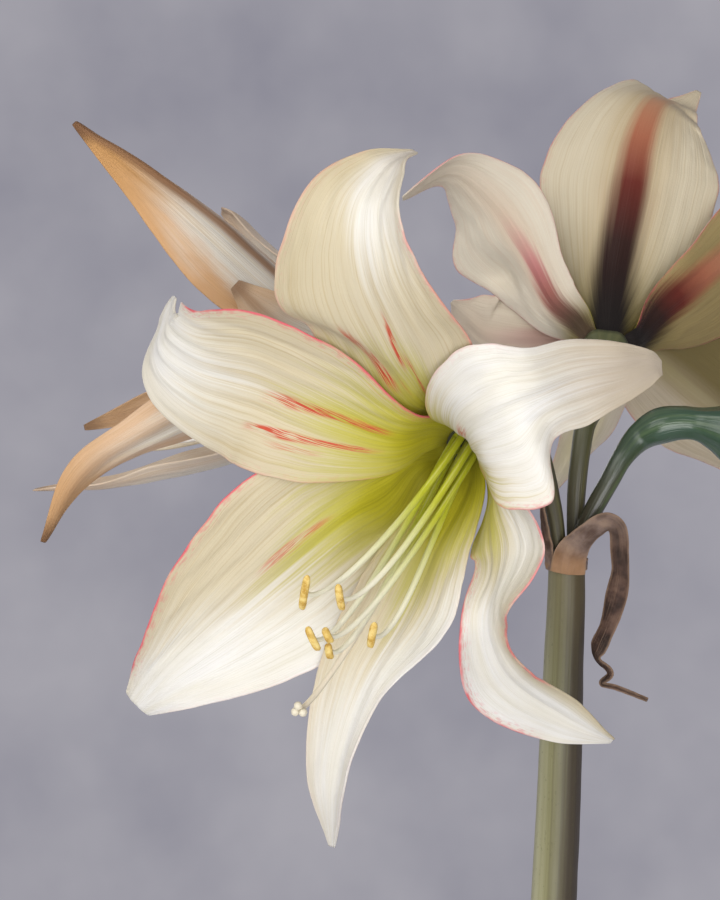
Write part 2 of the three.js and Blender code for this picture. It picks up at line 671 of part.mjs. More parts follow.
// The six tepals' grids: the first, third and fifth are the outer ones, tucked behind both their neighbours,
// the former of them twice because the two overlap most.
function tepalGrids(bloom) {
  const frame = frameOf(bloom.throat, bloom.axis);
  const grids = bloom.tepals.map((tepal, i) => {
    const wave = { height: TEPAL.wave, count: TEPAL.waves, phase: 1.7 * (i + 1) };
    return bladeGrid(frame, { ...tepal, wave }, bloom.steps, bloom.across);
  });
  const isOuter = (i) => i % 2 === 0;
  return grids.map((grid, i) => (isOuter(i)
    ? [(i + 5) % 6, i + 1, (i + 5) % 6].reduce((tucked, k) => tuckedBehind(tucked, grids[k]), grid)
    : grid));
}

// A drooping thread from its root to its end, which turns up into its tip.
function threadShape(frame, directions, root, end, { shoulder, hook, radii }, { sides, steps }) {
  const rise = root.map((value, k) => value + shoulder[k]);
  const bend = end.map((value, k) => value + hook[k]);
  const handles = [root, rise, bend, end].map((handle) => pointIn(frame, directions, handle));
  const curve = new THREE.CubicBezierCurve3(...handles);
  const points = curve.getPoints(4);
  const reach = radii.length - 1;
  const thickness = points.map((_, i) => alongRows(radii.map((radius) => [radius]), i / 4 / reach)[0]);
  return rodOf(points, thickness, steps, sides);
}

function stamensShape(bloom) {
  const frame = frameOf(bloom.throat, bloom.axis);
  const directions = directionsAt(frame, bloom.droop);
  const { ring, rootRadius, rootClocks, anther } = STAMEN;
  const band = turned([
    [ring.inner, ring.low], [ring.outer, ring.low], [ring.outer, ring.high], [ring.inner, ring.high],
    [ring.inner, ring.low],
  ], ring.sides);
  const place = new THREE.Matrix4().makeBasis(frame.right, frame.up, frame.ahead).setPosition(frame.origin);
  const pieces = [band.applyMatrix4(place)];
  bloom.stamens.ends.forEach((end, k) => {
    const angle = THREE.MathUtils.degToRad(rootClocks[k]);
    const root = [rootRadius * Math.cos(angle), rootRadius * Math.sin(angle), ring.low + 0.5];
    pieces.push(threadShape(frame, directions, root, end, STAMEN, bloom.filament));
    const grain = new THREE.SphereGeometry(0.5, 6, 4);
    grain.scale(anther.width, anther.depth, bloom.stamens.lengths[k]);
    const upright = frame.up.clone().applyAxisAngle(frame.ahead, 0.35 * Math.sin(2.1 * k));
    const aside = new THREE.Vector3().crossVectors(upright, frame.ahead).normalize();
    const facing = new THREE.Vector3().crossVectors(aside, upright);
    grain.applyMatrix4(new THREE.Matrix4().makeBasis(aside, facing.negate(), upright));
    pieces.push(grain.translate(...pointIn(frame, directions, end).toArray()));
  });
  return joined(pieces);
}

function pistilShape(bloom) {
  const frame = frameOf(bloom.throat, bloom.axis);
  const directions = directionsAt(frame, bloom.droop);
  const end = bloom.stamens.style;
  const style = threadShape(frame, directions, [0, 0, -0.4], end, STYLE, { sides: 5, steps: 9 });
  const tip = pointIn(frame, directions, end);
  const lobes = [0, 1, 2].map((k) => {
    const { out } = directionsAt(frame, 120 * k);
    const lobe = new THREE.SphereGeometry(STYLE.lobe, 5, 4);
    return lobe.translate(...tip.clone().addScaledVector(out, STYLE.lobe * 0.9).toArray());
  });
  return joined([style, ...lobes]);
}

const plant = new THREE.Group();

function addPiece(name, geometry, colour, roughness = 0.7) {
  const mesh = new THREE.Mesh(geometry, new THREE.MeshStandardMaterial({ color: colour, roughness }));
  mesh.name = name;
  plant.add(mesh);
}

addPiece('pot', potShape(), COLOURS.pot, 0.85);
addPiece('soil', soilShape(), COLOURS.soil, 0.95);
addPiece('bulb', bulbShape(), COLOURS.bulb, 0.6);
addPiece('scape', scapeShape(), COLOURS.scape, 0.45);
addPiece('spathe', spatheShape(), COLOURS.spathe);
for (const [name, leaf] of Object.entries(LEAVES)) addPiece(name, leafShape(leaf), COLOURS.leaf, 0.4);

for (const [name, bloom] of Object.entries(BLOOMS)) {
  addPiece(`bloom_${name}_stalk`, stalkShape(bloom), COLOURS.stalk, 0.45);
  tepalGrids(bloom).forEach((grid, i) => {
    const colour = name === 'left' ? COLOURS.fading : COLOURS.tepal;
    addPiece(`bloom_${name}_tepal_${i + 1}`, sheetOf(grid, TEPAL.thickness), colour, 0.55);
  });
  addPiece(`bloom_${name}_stamens`, stamensShape(bloom), COLOURS.stamen, 0.6);
  addPiece(`bloom_${name}_pistil`, pistilShape(bloom), COLOURS.pistil, 0.5);
}

export default plant;
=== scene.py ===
"""The looks of the potted amaryllis: finer pieces in place of the part's own, with light and camera."""
import math
import random

import bmesh
import bpy
from mathutils import Matrix, Vector, noise
from mathutils.bvhtree import BVHTree


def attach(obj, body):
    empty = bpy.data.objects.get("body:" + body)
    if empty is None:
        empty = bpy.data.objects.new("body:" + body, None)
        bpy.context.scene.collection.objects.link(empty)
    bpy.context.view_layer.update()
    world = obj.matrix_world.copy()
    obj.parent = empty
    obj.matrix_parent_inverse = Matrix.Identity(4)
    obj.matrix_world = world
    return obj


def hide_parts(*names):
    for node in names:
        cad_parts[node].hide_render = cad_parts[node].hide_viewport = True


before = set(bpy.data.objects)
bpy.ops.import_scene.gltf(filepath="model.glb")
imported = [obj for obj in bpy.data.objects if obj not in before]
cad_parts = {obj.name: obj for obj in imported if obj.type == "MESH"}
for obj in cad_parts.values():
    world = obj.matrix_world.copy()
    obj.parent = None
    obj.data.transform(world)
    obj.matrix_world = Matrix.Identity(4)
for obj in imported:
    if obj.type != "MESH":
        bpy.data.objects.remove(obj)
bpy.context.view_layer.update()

# Shapes are worked out in millimetres, as the part's are, and made metres as each piece is finished.
MM = 0.001

# The part's own numbers. A blade's row is how far out, aside and forward its middle runs, its half
# widths to the left and the right, its roll in degrees and how far its edges lift inwards. A bloom's
# blades each have a clock angle round its axis. Outer and inner blades take turns, the first outer.
POT = {"height": 130, "base": 52, "lip": 72, "wall": 5, "floor": 6, "band": 26, "out": 4}
SOIL_TOP = 112
CRUMBS = 620
BULB = [
    # radius, height
    (0, 74), (20, 76), (34, 87), (41.5, 101), (42.5, 112), (39, 127), (29, 142), (21, 153), (18.5, 166),
]
POCKET = {"radius": 15.6, "floor": 150}
HUSKS = [
    # start and sweep round the bulb in radians, lower and upper edge
    (0.3, 2.5, 104, 150), (2.5, 2.2, 104, 141), (4.4, 2.6, 104, 156),
]
SCAPE = [
    # x, y, z, radius
    (0, 0, 150.4, 8.6), (5.6, 0, 300, 8.2), (12, 0, 445, 7.5), (13.4, 0, 489, 7.1), (14.2, 0, 520, 6.6),
    (14.9, 0, 545, 6.1), (15, 0, 557, 5.8),
]
LEAVES = {
    "leaf_left_long": (270, [
        (10.9, 0, 0.5, 9, 9, 0, 4.7), (11.3, 0, 20, 10, 10, 0, 5), (16, 1, 55, 13, 13, 0, 4.5),
        (30, 4, 100, 16, 16, 4, 4), (55, 8, 140, 17, 17, 8, 3.5), (92, 12, 163, 15, 15, 10, 3),
        (128, 15, 158, 10, 10, 8, 2), (150, 17, 140, 1.5, 1.5, 0, 0)]),
    "leaf_right_long": (90, [
        (10.9, 0, 0.5, 9, 9, 0, 4.7), (11.3, 0, 20, 10, 10, 0, 5), (15, 2, 52, 13, 13, 0, 4.5),
        (26, 6, 92, 15, 15, -4, 4), (47, 12, 130, 16, 16, -8, 3.5), (78, 18, 152, 14, 14, -8, 3),
        (110, 23, 150, 9, 9, -6, 2), (131, 26, 134, 1.5, 1.5, 0, 0)]),
    "leaf_left_short": (262, [
        (13.5, 0, 0.5, 9, 9, 0, 3.8), (13.8, 0, 16, 10, 10, 0, 4), (20, -4, 36, 12, 12, 0, 4),
        (40, -12, 66, 15, 15, 0, 3.5), (70, -22, 88, 15, 15, 4, 3), (104, -32, 90, 11, 11, 6, 2),
        (131, -40, 73, 1.5, 1.5, 0, 0)]),
    "leaf_right_short": (96, [
        (13.5, 0, 0.5, 9, 9, 0, 3.8), (13.8, 0, 16, 10, 10, 0, 4), (19, -5, 40, 12, 12, 0, 4),
        (36, -14, 74, 14, 14, 0, 3.5), (60, -26, 100, 14, 14, -4, 3), (88, -38, 106, 10, 10, -6, 2),
        (110, -47, 94, 1.5, 1.5, 0, 0)]),
}
TEPAL = {"thickness": 0.72, "wave": 0.9, "waves": 2.5}
TUCK = {"clearance": 3.2, "fade": 10, "reach": 15, "rounds": 10}
OVARY = [(31, 4.6), (24, 6), (17, 5.5), (11, 5.4), (5, 7.4), (0.9, 9.4)]
PEDICEL_RADII = (2.2, 2.8, 3.1, 3.2, 3.5)
OPEN_STAMENS = {
    "ends": [(20, 9, 70), (26, 7, 80), (28, -3, 69), (35, 6, 75), (31, 11, 78), (20, 18, 75)],
    "lengths": [8.5, 5, 9, 5, 8, 12],
    "style": (46, 6, 90),
}
EVEN_STAMENS = {
    "ends": [(16, -10, 72), (24, -8, 78), (32, -3, 80), (32, 5, 78), (25, 10, 80), (16, 12, 74)],
    "lengths": [9, 9, 9, 9, 9, 9],
    "style": (38, 1, 96),
}
STAMEN_RING = ((2.8, 0.4), (4.8, 0.4), (4.8, 1.6), (4.2, 2.1), (2.9, 1.9))
STAMEN_CLOCKS = (-150, -95, -45, 45, 95, 150)
BASE = (6, 0, 0, 3.2, 3.2, 0, 0.9)
BASE_OUT = (7, 0, 0, 3.2, 3.2, 0, 0.9)
BLOOMS = {
    "front": {
        "throat": (-20.5, -54, 600.4), "axis": (-0.35, -0.86, -0.36),
        "droop": 205, "stamens": OPEN_STAMENS,
        "stalk": [(12.6, -2.4, 558.2), (9.9, -5, 574), (5.6, -9, 588), (1.5, -13, 600),
                  (-3.5, -19.5, 609)],
        "steps": 72, "across": 40,
        "tepals": [
            (0, [BASE_OUT, (13, -1, 12, 11, 11, 0, 3.5), (26, -2, 24, 22, 20, 0, 3),
                 (48, -4, 35, 28, 23, 0, 4), (69, -8, 39, 26, 19, 0, 6), (87, -8, 36, 16, 14, 0, 6),
                 (96, -3, 27, 8, 8, 0, 3), (98, 3, 19, 1, 1, 0, 0)]),
            (60, [BASE, (12, -5, 20, 12, 9, -7, 3), (24, -11, 35, 18, 22, 10, 4),
                  (39, -12, 41, 22, 27, 9, 0), (48, -10, 36, 15, 13, -5, -1),
                  (56, -6, 26, 12, 12, -8, -1), (63, 0, 16, 9, 8, -9, 0), (67, 4, 8, 5, 5, -6, 0),
                  (68, 7, 4, 2, 2, -10, 0)]),
            (125, [(7.4, -0.3, 0, 3, 3, 0, 0.9), (14, -4, 25, 13, 10, 0, 3),
                   (26, 5, 34, 23, 12, -4, 4), (33, 24, 39, 8, 7, -4, 4), (48, 41, 34, 10, 12, 0, 4),
                   (69, 50, 23, 8, 9, 7, 2), (87, 54, 14, 1, 1, 0, 0)]),
            (185, [BASE, (12, -1, 11, 8, 8, 0, 3), (22, 3, 27, 12, 13, 0, 1),
                   (37, 8, 40, 15, 16, 1, 2), (58, 18, 53, 7, 14, -3, 3), (89, 27, 56, 5, 8, -5, 3),
                   (121, 32, 51, 1, 1, 0, 0)]),
            (240, [BASE_OUT, (11, 3, 11, 10, 9, 0, 3), (20, 5, 23, 19, 20, -3, 2),
                   (39, 5, 37, 30, 29, -4, 6), (71, 1, 49, 26, 23, -2, 5),
                   (101, -4, 54, 15, 11, -1, 3), (122, -10, 53, 5, 5, -9, -1)]),
            (300, [(6, -0.6, 0, 3, 2.8, 0, 0.9), (10, 3, 10, 7, 7, -2, 1), (18, 4, 24, 12, 11, -11, 2),
                   (38, 4, 29, 21, 20, -14, 6), (60, 2, 29, 25, 23, -5, 6),
                   (80, -7, 23, 23, 17, -1, 2), (94, -11, 15, 18, 15, -3, 0),
                   (98, -7, 8, 7, 8, -10, 0), (99, -1, 6, 1, 1, -15, 0)]),
        ],
    },
    "left": {
        "throat": (-42, 23, 616), "axis": (-0.93, 0.25, 0.12),
        "droop": 180, "stamens": EVEN_STAMENS,
        "stalk": [(12.6, 2.4, 558.2), (10.5, 6, 575), (6.9, 9, 590), (2.5, 11.5, 602),
                  (-4, 13.3, 609.5)],
        "steps": 52, "across": 26,
        "tepals": [
            (90, [(7, -0.5, 0, 2.8, 2.8, 0, 0.9), (14, -1, 4, 8, 8, 0, 3), (24, -5, 9, 13, 13, 0, 4),
                  (32, -7, 16, 15, 15, 0, 4), (40, -14, 30, 11, 11, 0, 3), (42, -25, 45, 2, 2, 0, 0)]),
            (120, [(6, 1.6, 0, 2.8, 2.6, 0, 0.9), (15, -1, 12, 8, 8.5, 0, 4),
                   (27, -6, 25, 11, 12, 0, 5), (48, -9, 50, 9, 14, 0, 6), (62, -3, 69, 6, 11, 0, 5),
                   (74, 6, 83, 5, 6, 0, 3), (87, 24, 93, 1, 1, 0, 0)]),
            (185, [(7, 1, 0, 3, 3, 0, 0.9), (15, 0, 12, 9, 9, 0, 4), (26, 0, 28, 13, 13, 0, 5),
                   (39, -2, 54, 13, 13, 0, 6), (48, -5, 78, 10, 10, 0, 5), (54, -8, 99, 6, 6, 0, 3),
                   (58, -10, 123, 1, 1, 0, 0)]),
            (250, [(6, 0.5, 0, 3, 3, 0, 0.9), (14, 2, 11, 8, 8, 0, 4), (22, -1, 25, 12, 12, 0, 5),
                   (30, -4, 39, 13, 13, 0, 6), (32, -11, 68, 11, 11, 0, 5), (30, -19, 92, 6, 6, 0, 3),
                   (26, -30, 114, 1, 1, 0, 0)]),
            (320, [BASE_OUT, (14, -3, 7, 8, 8, 0, 4), (24, -8, 20, 11, 11, 0, 5),
                   (36, -10, 35, 13, 13, 0, 6), (49, -7, 58, 11, 11, 0, 5), (58, -3, 72, 7, 7, 0, 3),
                   (60, -1, 80, 2, 2, 0, 0)]),
            (40, [(6, -1, 0, 2.8, 2.8, 0, 0.9), (14, 0, 13, 8, 8, 0, 4), (28, 3, 25, 11, 15, 0, 7),
                  (42, 1, 40, 11, 20, 0, 9), (56, -3, 58, 9, 18, 0, 8), (70, -8, 82, 5, 10, 0, 5),
                  (80, -13, 106, 1, 1, 0, 0)]),
        ],
    },
    "back": {
        "throat": (32, 44, 622), "axis": (0.18, 0.86, 0.46),
        "droop": 180, "stamens": EVEN_STAMENS,
        "stalk": [(17.4, 2.4, 558.2), (18, 4, 568), (18.6, 5.8, 579), (19.9, 8, 590), (22, 11.2, 600)],
        "steps": 52, "across": 26,
        "tepals": [
            (45, [BASE_OUT, (12, 3, 8, 7, 9, 10, 2), (21, 6, 16, 9, 15, 9, 3),
                  (31, 5, 24, 10, 23, 5, 4), (45, 2, 30, 14, 30, 0, 5), (59, 0, 33, 14, 20, 1, 5),
                  (76, 1, 32, 8, 9, -1, 1), (85, 15, 19, 1, 1, -12, 0)]),
            (108, [(6, 0, 0, 3, 3, 0, 0.9), (12, 0, 10, 8, 9, -12, 3), (19, 0, 18, 13, 15, -14, 4),
                   (34, 0, 26, 19, 17, -17, 5), (47, -4, 29, 22, 16, -18, 6),
                   (53, -12, 33, 10, 9, -20, 3), (56, -18, 35, 1, 1, 0, 0)]),
            (172, [BASE_OUT, (13, 0, 4, 6, 9, 0, 5), (22, -1, 7, 9, 11, -5, 5),
                   (37, -3, 8, 9, 10, 1, 5), (48, -7, 7, 6, 7, 4, 4), (57, -11, 4, 3, 4, 8, 3),
                   (64, -13, 1, 1, 1, 10, 0)]),
            (230, [BASE, (11, -1, 12, 10, 10, 4, 3), (21, -3, 22, 17, 17, 8, 3),
                   (41, -8, 30, 24, 22, 9, 4), (64, -11, 32, 24, 18, 6, 4),
                   (81, -16, 27, 12, 11, 2, 3), (92, -20, 21, 1, 1, 0, 0)]),
            (292, [BASE_OUT, (12, -2, 8, 9, 5, -2, 3), (21, -1, 19, 19, 7, -1, 3),
                   (33, -2, 34, 25, 11, -3, 3), (47, -3, 51, 25, 14, -1, 5),
                   (59, -3, 66, 18, 11, 0, 3), (68, -4, 68, 1, 1, -3, 0)]),
            (-12, [BASE, (10, 1, 13, 13, 13, 0, 5), (18, 2, 32, 25, 22, 0, 8),
                   (34, 2, 54, 31, 32, 0, 9), (47, 2, 71, 30, 30, 0, 9), (54, -1, 88, 22, 21, -9, 5),
                   (51, -6, 100, 15, 16, -22, 1), (46, -12, 108, 6, 7, -5, 0),
                   (49, -17, 118, 1, 1, 0, 0)]),
        ],
    },
    "right": {
        "throat": (68, -1.8, 598.2), "axis": (0.93, -0.2, -0.27),
        "sag": 11, "droop": 180, "stamens": EVEN_STAMENS,
        "stalk": [(17.4, -2.4, 558.2), (20, -2.2, 566.3), (24.2, -1.5, 574.4), (28.6, -0.3, 582),
                  (33, 1.5, 589.5)],
        "steps": 44, "across": 22,
        "tepals": [],
    },
}
OUTER_ROWS = [
    BASE_OUT, (13, 0, 10, 10, 10, 0, 4), (23, 0, 24, 18, 18, 0, 6), (38, 0, 40, 24, 24, 0, 7),
    (54, 0, 54, 22, 22, 0, 6), (74, 0, 54, 13, 13, 0, 4), (88, 0, 47, 1, 1, 0, 0),
]
INNER_ROWS = [
    BASE, (12, 0, 11, 9, 9, 0, 3), (21, 0, 26, 14, 14, 0, 4), (35, 0, 43, 19, 19, 0, 5),
    (50, 0, 58, 18, 18, 0, 5), (72, 0, 60, 10, 10, 0, 3), (88, 0, 54, 1, 1, 0, 0),
]
BLOOMS["right"]["tepals"] = [
    (20 + 60 * k, INNER_ROWS if k % 2 else OUTER_ROWS) for k in range(6)
]
COLLAR = {"middle": 14.9, "foot": 553, "top": 556.8, "radius": 6.6}
SPATHE_LONG = [
    # x, y, z, half width, turn in degrees
    (14.8, -7.1, 552.2, 5.8, 0), (15.6, -8.4, 558.6, 5.4, 0), (18, -10.5, 563.2, 4.4, 10),
    (21.8, -12.8, 567.3, 3.7, 15), (26, -14.8, 570.2, 3.4, 20), (29.4, -15.8, 568.3, 3, 15),
    (30.2, -16, 561.5, 2.9, 10), (30.5, -16, 553.5, 3.2, 5), (29, -16, 545, 3.4, 10),
    (26.3, -15.5, 536.4, 2.9, 30), (23.8, -15, 530, 2.8, 30), (23.3, -14.5, 526, 1.6, 60),
    (28, -14, 521.3, 1.3, 40), (25, -14, 517.8, 0.9, 20), (29.5, -14, 516.6, 0.9, 10),
    (40.3, -14, 512.4, 0.7, 0),
]
SPATHE_SHORT = [
    (8.6, -2.2, 553.5, 2.4, -65), (8.2, -4.2, 560, 2.2, -55), (7, -6, 567, 1.8, -50),
    (5.9, -7.5, 575.5, 0.9, -45),
]

# Petal looks. Lime, pale and beige say how far along the petal those colours reach on its left, in its
# middle and on its right; the beige is partly the petal's own green-beige and partly painted shade. Edges
# say how strong a painted shade in beige is on the two sides, and tip where a painted shade in tan starts
# and how strong it is. Rims are pink edges on the left and the right: strength, from and to along the
# petal. Streaks are bands of red dashes: where across (-1 to 1) they start and end, from and to along the
# petal, half width and strength.
CREAM = (0.82, 0.79, 0.69)
WHITE = (0.86, 0.85, 0.81)
BEIGE_AND_SHADE = (0.62, 0.53, 0.33)
TIP_SHADE_TAN = (0.58, 0.48, 0.35)
PALE_LIME = (0.55, 0.50, 0.15)
LIME = (0.52, 0.47, 0.022)
DEEP_LIME_AND_SHADE = (0.40, 0.36, 0.015)
RED = (0.60, 0.085, 0.04)
PINK = (0.74, 0.15, 0.17)
FRONT_LOOKS = [
    dict(lime=(0.26, 0.28, 0.16), pale=(0.36, 0.40, 0.27), beige=(1.0, 0.58, 0.62),
         edges=(0.5, 0.4), tip=(0.7, 0.6),
         rims=((0.3, 0.2, 0.9), (0.5, 0.2, 0.75)),
         streaks=[(-0.34, -0.50, 0.28, 0.50, 0.09, 1.0), (-0.08, 0.03, 0.34, 0.51, 0.05, 1.0),
                  (0.0, 0.04, 0.25, 0.42, 0.05, 0.95), (-0.2, -0.22, 0.27, 0.36, 0.04, 0.6)]),
    dict(lime=(0.12, 0.04, 0.16), pale=(0.17, 0.08, 0.24), beige=(0.22, 0.12, 0.30),
         edges=(0.1, 0.2), tip=(0.42, 0.85),
         rims=((0.25, 0.1, 0.5), (0.65, 0.12, 0.55)),
         streaks=[(-0.10, -0.20, 0.12, 0.24, 0.12, 0.9), (0.60, 0.80, 0.04, 0.20, 0.2, 0.8)]),
    dict(lime=(0.0, 0.18, 0.20), pale=(0.04, 0.32, 0.34), beige=(0.10, 0.40, 0.44),
         edges=(0.85, 0.0), tip=(0.85, 0.3),
         rims=((0.75, 0.2, 0.75), (0.95, 0.25, 0.85)), streaks=[]),
    dict(lime=(0.20, 0.36, 0.24), pale=(0.28, 0.54, 0.38), beige=(0.36, 0.64, 0.72),
         edges=(0.0, 0.25), tip=(0.9, 0.3),
         rims=((0.05, 0.2, 1.0), (0.05, 0.2, 1.0)), streaks=[]),
    dict(lime=(0.16, 0.50, 0.22), pale=(0.34, 0.60, 0.34), beige=(0.46, 0.66, 0.84),
         edges=(0.0, 0.4), tip=(1.0, 0.0),
         rims=((0.1, 0.3, 1.0), (1.0, 0.1, 0.96)), streaks=[(0.10, 0.16, 0.44, 0.62, 0.05, 0.7)]),
    dict(lime=(0.22, 0.34, 0.22), pale=(0.34, 0.42, 0.32), beige=(0.62, 0.56, 0.62),
         edges=(0.3, 0.25), tip=(1.0, 0.0),
         rims=((0.25, 0.2, 0.6), (1.0, 0.12, 0.74)),
         streaks=[(0.14, -0.14, 0.24, 0.50, 0.10, 1.0), (-0.34, -0.56, 0.25, 0.53, 0.06, 1.0),
                  (-0.58, -0.66, 0.34, 0.47, 0.04, 0.5)]),
]
OTHER_LOOK = dict(lime=(0.2, 0.3, 0.2), pale=(0.3, 0.42, 0.3), beige=(0.5, 0.55, 0.5),
                  edges=(0.3, 0.3), tip=(0.8, 0.5),
                  rims=((0.6, 0.15, 1.0), (0.6, 0.15, 1.0)),
                  streaks=[(0.15, 0.3, 0.2, 0.42, 0.10, 0.8), (-0.15, -0.3, 0.2, 0.42, 0.10, 0.8)])
# Looks of the backs: the skin's colour, its shade, how far from the rib that reaches in millimetres, how
# far along the olive at its foot reaches, how strong a painted shade is on the left and right sides, the
# rib, and the pink edges' strengths. A rib has its half width at the foot, where it ends, its strength and
# its colours.
OLIVE = (0.20, 0.16, 0.04)
PLAIN_RIB = dict(width=5, reach=0.8, strength=0.35,
                 colours=[(0.26, 0.24, 0.07), (0.45, 0.40, 0.20), (0.6, 0.54, 0.36)])
DARK_RIB = dict(width=11, reach=0.86, strength=1.0,
                colours=[(0.012, 0.008, 0.006), (0.035, 0.012, 0.008), (0.15, 0.025, 0.015),
                         (0.42, 0.15, 0.08), (0.52, 0.26, 0.14)])
ROSE_RIB = dict(width=6, reach=0.70, strength=0.95,
                colours=[(0.07, 0.04, 0.02), (0.36, 0.11, 0.09), (0.60, 0.22, 0.22), (0.72, 0.38, 0.34)])
MAUVE_RIB = dict(width=8, reach=0.75, strength=0.8,
                 colours=[(0.16, 0.08, 0.04), (0.34, 0.17, 0.13), (0.50, 0.32, 0.27), (0.66, 0.48, 0.42)])
PLAIN_BACK = dict(skin=(0.80, 0.76, 0.63), shade=(0.62, 0.56, 0.34), spread=9, foot_reach=0.3,
                  sides=(0.0, 0.0), rib=PLAIN_RIB, rims=(0.3, 0.3))
BACK_LOOKS = [
    dict(PLAIN_BACK, skin=(0.76, 0.70, 0.57), shade=(0.70, 0.56, 0.42), rib=ROSE_RIB, rims=(0.1, 0.5)),
    dict(PLAIN_BACK, skin=(0.70, 0.62, 0.49), shade=(0.60, 0.48, 0.36), rib=MAUVE_RIB, rims=(0.5, 0.3)),
    dict(PLAIN_BACK, skin=(0.70, 0.64, 0.52)),
    # This look's right side takes painted shade.
    dict(PLAIN_BACK, skin=(0.64, 0.56, 0.42), shade=(0.40, 0.32, 0.16), sides=(0.0, 1.0), rims=(0.4, 0.1)),
    # Back tepal 5: painted shade darkens its whole skin and shade to olive-brown.
    dict(PLAIN_BACK, skin=(0.36, 0.28, 0.12), shade=(0.22, 0.15, 0.05), foot_reach=0.4, rib=DARK_RIB,
         rims=(0.2, 0.4)),
    dict(PLAIN_BACK, skin=(0.68, 0.61, 0.45), shade=(0.50, 0.38, 0.20), spread=20, foot_reach=0.34,
         rib=DARK_RIB, rims=(0.2, 0.5)),
]
# The colour of the painted shade laid on a back's darker side.
SHADED_SIDE = (0.24, 0.19, 0.075)
# Looks of the fading petals: how dry their edges and tips are, how brown the rib is, and the foot's colour.
FADING = [
    (0.45, 0.5, (0.72, 0.40, 0.14)), (0.75, 0.3, (0.62, 0.52, 0.26)), (0.3, 0.05, (0.50, 0.40, 0.12)),
    (0.6, 0.2, (0.62, 0.50, 0.26)), (0.3, 0.1, (0.70, 0.60, 0.36)), (1.0, 0.9, (0.66, 0.52, 0.30)),
]

# The photo's camera, in metres and millimetres of lens, then each lamp's place, target, size, power and
# colour, and the wall's two greys.
CAMERA = {"place": (-0.0529, -0.6709, 0.6628), "target": (-0.0529, -0.0543, 0.5980),
          "lens": 103.33, "sensor": 36}
LAMPS = {
    "key": ((-1.0, -1.0, 1.3), (0, 0, 0.58), 1.4, 16.5, (1.0, 0.99, 0.98)),
    "fill": ((0.1, -1.6, 0.45), (0, 0, 0.58), 1.2, 23, (0.99, 0.99, 1.0)),
    "back": ((-0.4, 1.4, 1.1), (0, 0, 0.6), 1.2, 8, (0.97, 0.98, 1.0)),
}
WALL = ((0.27, 0.265, 0.315), (0.38, 0.37, 0.41))
FLOOR_RADIUS = 1200
FLOOR_DROP = 0.4


def along_rows(rows, t):
    """A smooth run through rows of numbers, with t from 0 to 1."""
    last = len(rows) - 1
    i = min(int(t * last), last - 1)
    f = t * last - i
    b, c = rows[i], rows[i + 1]
    a = rows[i - 1] if i else [2 * q - r for q, r in zip(b, c)]
    d = rows[i + 2] if i + 2 <= last else [2 * r - q for q, r in zip(b, c)]
    return [0.5 * (2 * q + (r - p) * f + (2 * p - 5 * q + 4 * r - s) * f ** 2
                   + (3 * q - p - 3 * r + s) * f ** 3)
            for p, q, r, s in zip(a, b, c, d)]


def facing(origin, axis, upwards=(0, 0, 1)):
    """Where a bloom or a shoot starts, and its directions: ahead, up across that, and to the right."""
    ahead = Vector(axis).normalized()
    up = Vector(upwards)
    up = (up - ahead * up.dot(ahead)).normalized()
    return {"origin": Vector(origin), "ahead": ahead, "up": up, "right": up.cross(ahead)}


def clockwise(seat, clock):
    """The outward and sideways directions at a clock angle, 0 being up and 90 to the right."""
    angle = math.radians(clock)
    out = seat["up"] * math.cos(angle) + seat["right"] * math.sin(angle)
    side = seat["up"] * -math.sin(angle) + seat["right"] * math.cos(angle)
    return out, side


def point_in(seat, ways, place):
    return seat["origin"] + ways[0] * place[0] + ways[1] * place[1] + seat["ahead"] * place[2]


def clamp(value, low=0.0, high=1.0):
    return max(low, min(high, value))


def in_metres(name, bm, finishes):
    """Makes a bmesh an object in metres, with its materials."""
    bmesh.ops.scale(bm, vec=(MM,) * 3, verts=bm.verts)
    mesh = bpy.data.meshes.new(name)
    bm.to_mesh(mesh)
    bm.free()
    for finish in finishes:
        mesh.materials.append(finish)
    thing = bpy.data.objects.new(name, mesh)
    bpy.context.scene.collection.objects.link(thing)
    return thing


def finished(name, bm, finishes, node):
    """A smooth piece that rides on the part's body and stands for its own node."""
    piece = in_metres(name, bm, finishes)
    piece.data.shade_smooth()
    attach(piece, "root")
    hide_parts(node)
    return piece


def thickened(piece, thickness, second_face=False):
    """Gives a sheet its thickness and smooths it. Its back can take the piece's second material."""
    solidify = piece.modifiers.new("thickness", "SOLIDIFY")
    solidify.thickness = thickness * MM
    solidify.offset = 0
    solidify.use_even_offset = False
    if second_face:
        solidify.material_offset = 1
    smooth = piece.modifiers.new("smooth", "SUBSURF")
    smooth.levels = smooth.render_levels = 1


def kept_on(bm, *names):
    """New layers that hold one number for each vertex."""
    return [bm.verts.layers.float.new(name) for name in names]


def round_uvs(bm, low, tall):
    """A UV map that runs once round the upright axis, and up it from a low point over a height."""
    uv = bm.loops.layers.uv.new("UVMap")
    for face in bm.faces:
        angles = [math.atan2(loop.vert.co.y, loop.vert.co.x) / (2 * math.pi) for loop in face.loops]
        wrap = max(angles) - min(angles) > 0.5
        for loop, angle in zip(face.loops, angles):
            loop[uv].uv = (angle + 1 if wrap and angle < 0 else angle, (loop.vert.co.z - low) / tall)


def spun(bm, profile, edges, steps):
    """Turns a profile once round the upright axis."""
    bmesh.ops.spin(bm, geom=profile + edges, axis=(0, 0, 1), cent=(0, 0, 0), angle=2 * math.pi,
                   steps=steps, use_merge=True)


# Blades: petals and leaves

def blade_bmesh(steps, across):
    """A flat grid from base (-1) to tip (1) and from left (-1) to right (1), with its UV map."""
    bm = bmesh.new()
    bmesh.ops.create_grid(bm, x_segments=across, y_segments=steps, size=1)
    uv = bm.loops.layers.uv.new("UVMap")
    for face in bm.faces:
        for loop in face.loops:
            x, y, _ = loop.vert.co
            loop[uv].uv = ((x + 1) / 2, (y + 1) / 2)
    return bm


